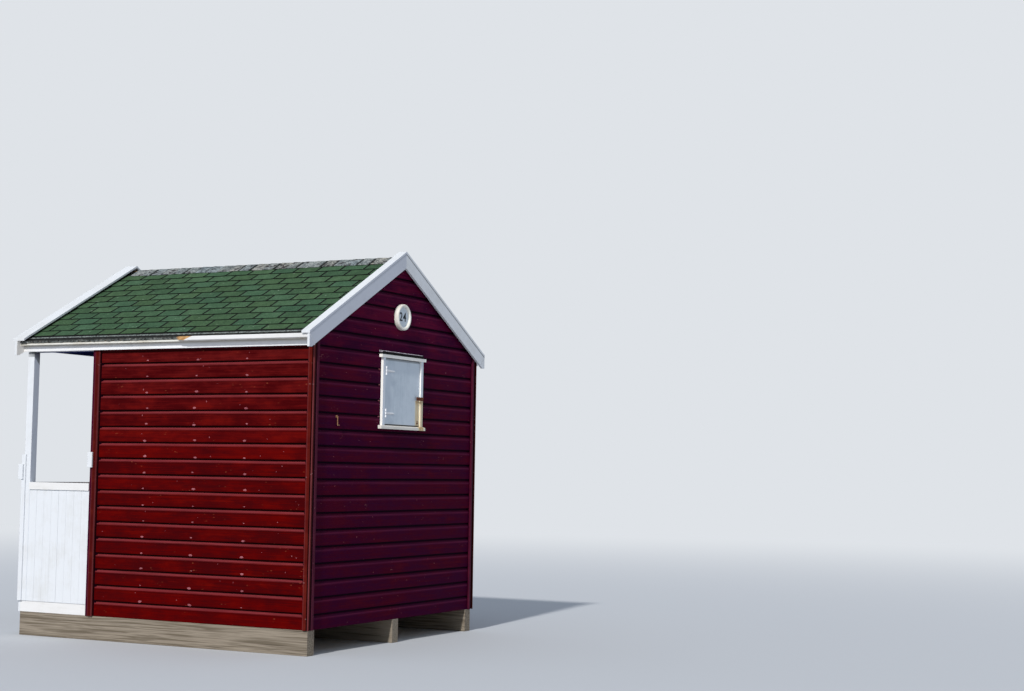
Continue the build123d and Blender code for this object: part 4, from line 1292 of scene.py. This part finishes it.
def make_hinges():
    """Tee hinges: a butt plate with three knuckles on the jamb and a tapered strap."""
    low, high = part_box("hatch_hinges")
    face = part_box("hatch_shutter")[1].y
    front = face + 0.0032
    shape = Shape()
    tall = 0.080
    draw = random.Random("hinges")
    pin_x, pin_y, radius = high.x - 0.014, high.y - 0.0025, 0.0085
    rim = [(math.cos(math.tau * k / 12), math.sin(math.tau * k / 12)) for k in range(12)]
    for middle in (low.z + tall / 2, high.z - tall / 2):
        for part in range(3):
            foot = middle - tall / 2 + tall * part / 3 + 0.0024
            head = middle - tall / 2 + tall * (part + 1) / 3 - 0.0024
            rings = []
            for up, reach in (
                    (foot, radius * 0.85), (foot + 0.0015, radius), (head - 0.0015, radius),
                    (head, radius * 0.85)):
                rings.append([(pin_x + reach * x, pin_y + reach * y, up) for x, y in rim])
            shape.loft(rings, 0.5)
        plate_back = pin_x - 0.006
        plate_section = [
            (plate_back, face), (high.x, face), (high.x, pin_y - 0.004), (plate_back, pin_y - 0.004)]
        # The plate behind the knuckles is darkened as painted shade
        shape.run(
            plate_section, (middle - tall / 2, middle + tall / 2), lambda x, y, z: (x, y, z), grime_and_shade=[0.6])
        rings = []
        for x, half in (
                (pin_x - 0.004, 0.015), (low.x + 0.07, 0.010), (low.x + 0.012, 0.0065),
                (low.x + 0.003, 0.005), (low.x, 0.002)):
            rings.append([
                (x, face, middle - half), (x, front, middle - half + 0.001),
                (x, front, middle + half - 0.001), (x, face, middle + half)])
        # The strap is darkened along its lower edge as its painted shadow
        shape.loft(rings, 0.5, [0.9, 0.35, 0.0, 0.0])
        for x in (low.x + 0.02, low.x + 0.06, low.x + 0.1):
            stud(shape, ON_REAR, x, REAR_FACE - face - 0.003, middle, 0.0035, 0.001, draw)
    make_piece("hatch_tee_hinges", shape, HINGE_WHITE, ("hatch_hinges",))


def stud(shape, place, along, depth, up, radius, height, draw, squash=1.0):
    """A low uneven lump on a wall, such as stopping over a nail or a bolt's head."""
    corners = 9
    start = draw.uniform(0, 1)
    reach = [radius * draw.uniform(0.75, 1.2) for _ in range(corners)]
    rings = []
    for share, lift in ((1.0, -0.0006), (0.95, 0.35 * height), (0.55, height)):
        ring = []
        for corner in range(corners):
            angle = math.tau * (corner + start) / corners
            out = reach[corner] * share
            rise = squash * out * math.sin(angle)
            ring.append(place(along + out * math.cos(angle), depth - lift, up + rise))
        rings.append(ring)
    shape.loft(rings, draw.random())


def make_nails():
    """Stopping over the nails, a row up each stud, stray blobs of it, and pale lumps beside the window's
    jamb, painted as the highlight where each board's arris meets it.
    """
    draw = random.Random("nails")
    shape = Shape()
    for place in (ON_RIGHT, ON_LEFT):
        for foot, _ in board_feet(SIDE_LINE, WALL_FOOT, WALL_TOP):
            if foot < WALL_FOOT:
                continue
            for step in range(3):
                along = STUD_FIRST + STUD_PITCH * step + draw.uniform(-0.012, 0.012)
                size = draw.choice(STOPPING_SIZES)
                up = foot + 0.012 + draw.uniform(-0.004, 0.008)
                stud(shape, place, along, BOARD_BOW, up, size, 0.0012, draw, 0.5)
            for _ in range(3):
                along = draw.uniform(SIDE_START + 0.1, SIDE_END - 0.1)
                up = foot + draw.uniform(0.015, 0.095)
                size = draw.uniform(0.002, 0.005)
                stud(shape, place, along, BOARD_BOW, up, size, 0.0008, draw, draw.uniform(0.5, 2.0))
    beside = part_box("hatch_jambs")[1].x + 0.014
    for foot, _ in board_feet(GABLE_LINE, WALL_FOOT, APEX, UPPER_COVER):
        half = rear_half(foot + 0.05)
        for _ in range(2):
            along = draw.uniform(-half, half) * 0.95
            by_window = abs(along) < 0.42 and 1.80 < foot < 2.6
            if by_window:
                continue
            up = foot + draw.uniform(0.02, 0.09)
            stud(shape, ON_REAR, along, BOARD_BOW, up, draw.uniform(0.002, 0.004), 0.0008, draw)
        # Pale lumps as a painted highlight at the boards' arrises beside the jamb
        if 1.9 < foot < 2.45:
            stud(shape, ON_REAR, beside, 0.007, foot - 0.010, 0.018, 0.004, draw, 0.35)
    make_piece("nail_stopping", shape, FILLER_AND_HIGHLIGHT, slot="red_gloss_paint")


def make_plaque():
    """The round plaque, white on its rim and grey on its sunk face, with its figures."""
    low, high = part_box("number_plaque")
    disc = eased("number_plaque", PLAQUE_RIM)
    disc.data.materials.append(PLAQUE_GREY)
    for face in disc.data.polygons:
        if face.normal.y > 0.8 and face.center.y < PLAQUE_FACE + 0.001:
            face.material_index = 1
    words = bpy.data.curves.new("plaque_figures", "FONT")
    words.body = "24"
    words.size = FIGURE_HEIGHT
    words.offset = 0.0018
    words.extrude = 0.0006
    words.space_character = 1.12
    words.align_x = "CENTER"
    words.align_y = "CENTER"
    holder = bpy.data.objects.new("figures_source", words)
    bpy.context.scene.collection.objects.link(holder)
    bpy.context.view_layer.update()
    mesh = bpy.data.meshes.new_from_object(holder.evaluated_get(bpy.context.evaluated_depsgraph_get()))
    bpy.data.objects.remove(holder)
    facing = Matrix(((-1, 0, 0), (0, 0, 1), (0, 1, 0))).to_4x4()
    middle = Vector(((low.x + high.x) / 2, PLAQUE_FACE + 0.0003, (low.z + high.z) / 2))
    mesh.transform(Matrix.Translation(middle) @ facing)
    mesh.name = "plaque_figures"
    mesh.materials.clear()
    dress(bpy.data.objects.new("plaque_figures", mesh), FIGURE_PAINT, slot_of("number_plaque"))


def finish_nodes():
    """Gives the nodes that keep their own mesh a finish."""
    finishes = {
        "rafters": TIMBER_X, "hatch_hasp": RUST, "cabin_hook": OCHRE_IRON, "door_hinges": PAINTED_IRON}
    for node, material in finishes.items():
        frame["nodes"][node].material_slots[0].material = material


make_walls()
make_frame()
make_shingles()
make_verge_felt()
make_ridge_capping()
make_barges()
make_drip_strips()
eased("fascia_boards", FASCIA_WHITE)
eased("eaves_battens", WHITE_CREAM, 0.001)
make_corners()
make_porch()
make_doors()
make_base()
make_hatch()
make_nails()
make_plaque()
finish_nodes()

# Camera, at the place and with the lens that the photograph's perspective gives

CAMERA_PLACE = Vector((12.665, 9.167, 1.500))
CAMERA_YAW = math.radians(-152.6935)
CAMERA_PITCH = math.radians(4.2531)
CAMERA_ROLL = math.radians(-0.8963)
CAMERA_LENS = 59.25

forward = Vector((
    math.cos(CAMERA_PITCH) * math.cos(CAMERA_YAW),
    math.cos(CAMERA_PITCH) * math.sin(CAMERA_YAW),
    math.sin(CAMERA_PITCH)))
level_right = forward.cross(Vector((0, 0, 1))).normalized()
level_down = forward.cross(level_right)
right = level_right * math.cos(CAMERA_ROLL) + level_down * math.sin(CAMERA_ROLL)
down = level_down * math.cos(CAMERA_ROLL) - level_right * math.sin(CAMERA_ROLL)
camera = bpy.data.objects.new("camera", bpy.data.cameras.new("camera"))
camera.data.sensor_width = 36
camera.data.lens = CAMERA_LENS
camera.data.clip_end = 400
turn = Matrix((right, -down, -forward)).transposed().to_4x4()
camera.matrix_world = Matrix.Translation(CAMERA_PLACE) @ turn
bpy.context.scene.collection.objects.link(camera)
bpy.context.scene.camera = camera

# Light, from the side that the sun is on in the photograph

SUN_FROM = Vector((0.812, 0.105, 0.574))
SUN_STRENGTH = 2.75
SKY_STRENGTH = 0.41
BACKDROP = "#dfe3e8"

sun = bpy.data.objects.new("sun", bpy.data.lights.new("sun", "SUN"))
sun.data.energy = SUN_STRENGTH
sun.data.color = (1.0, 0.975, 0.94)
sun.data.angle = math.radians(3)
sun.rotation_euler = SUN_FROM.to_track_quat("Z", "Y").to_euler()
bpy.context.scene.collection.objects.link(sun)

world = bpy.data.worlds.new("studio")
bpy.context.scene.world = world
world.use_nodes = True
tree = world.node_tree
tree.nodes.clear()
path = add(tree, "LightPath")
camera_ray, glossy_ray, through_ray = (
    path.outputs[ray] for ray in ("Is Camera Ray", "Is Glossy Ray", "Is Transmission Ray"))
seen = add(tree, "Math", {0: camera_ray, 1: glossy_ray}, operation="ADD")
seen = add(tree, "Math", {0: seen, 1: through_ray}, operation="ADD", use_clamp=True)
lit = add(tree, "Background", {"Color": (0.85, 0.97, 1.16, 1.0), "Strength": SKY_STRENGTH})
pale = add(tree, "Background", {"Color": rgb(BACKDROP), "Strength": 1.0})
both = add(tree, "MixShader", {0: seen, 1: lit, 2: pale})
add(tree, "OutputWorld", {"Surface": both})

# Floor, fading into the backdrop between two distances from the hut, in metres

FLOOR_RADIUS = 90
FLOOR_NEAR = 5.0
FLOOR_FAR = 26.0
FLOOR_COLOUR = "#c9ccd0"

floor_mesh = bpy.data.meshes.new("floor")
work = bmesh.new()
bmesh.ops.create_circle(work, cap_ends=True, segments=96, radius=FLOOR_RADIUS)
work.to_mesh(floor_mesh)
work.free()
floor = bpy.data.objects.new("floor", floor_mesh)
floor_material, tree, place = start_material("pale_studio_floor")
distance = add(tree, "VectorMath", {0: place}, operation="LENGTH").outputs["Value"]
far = add(
    tree, "MapRange", {"Value": distance, "From Min": FLOOR_NEAR, "From Max": FLOOR_FAR},
    interpolation_type="SMOOTHSTEP")
near_shader = add(tree, "BsdfPrincipled", {
    "Base Color": rgb(FLOOR_COLOUR), "Roughness": 0.9, "Specular IOR Level": 0.1})
path = add(tree, "LightPath").outputs["Is Camera Ray"]
far = add(tree, "Math", {0: far, 1: path}, operation="MULTIPLY")
far_shader = add(tree, "Emission", {"Color": rgb(BACKDROP), "Strength": 1.0})
both = add(tree, "MixShader", {0: far, 1: near_shader, 2: far_shader})
add(tree, "OutputMaterial", {"Surface": both})
floor.data.materials.append(floor_material)
bpy.context.scene.collection.objects.link(floor)

bpy.context.scene.view_settings.view_transform = "Standard"
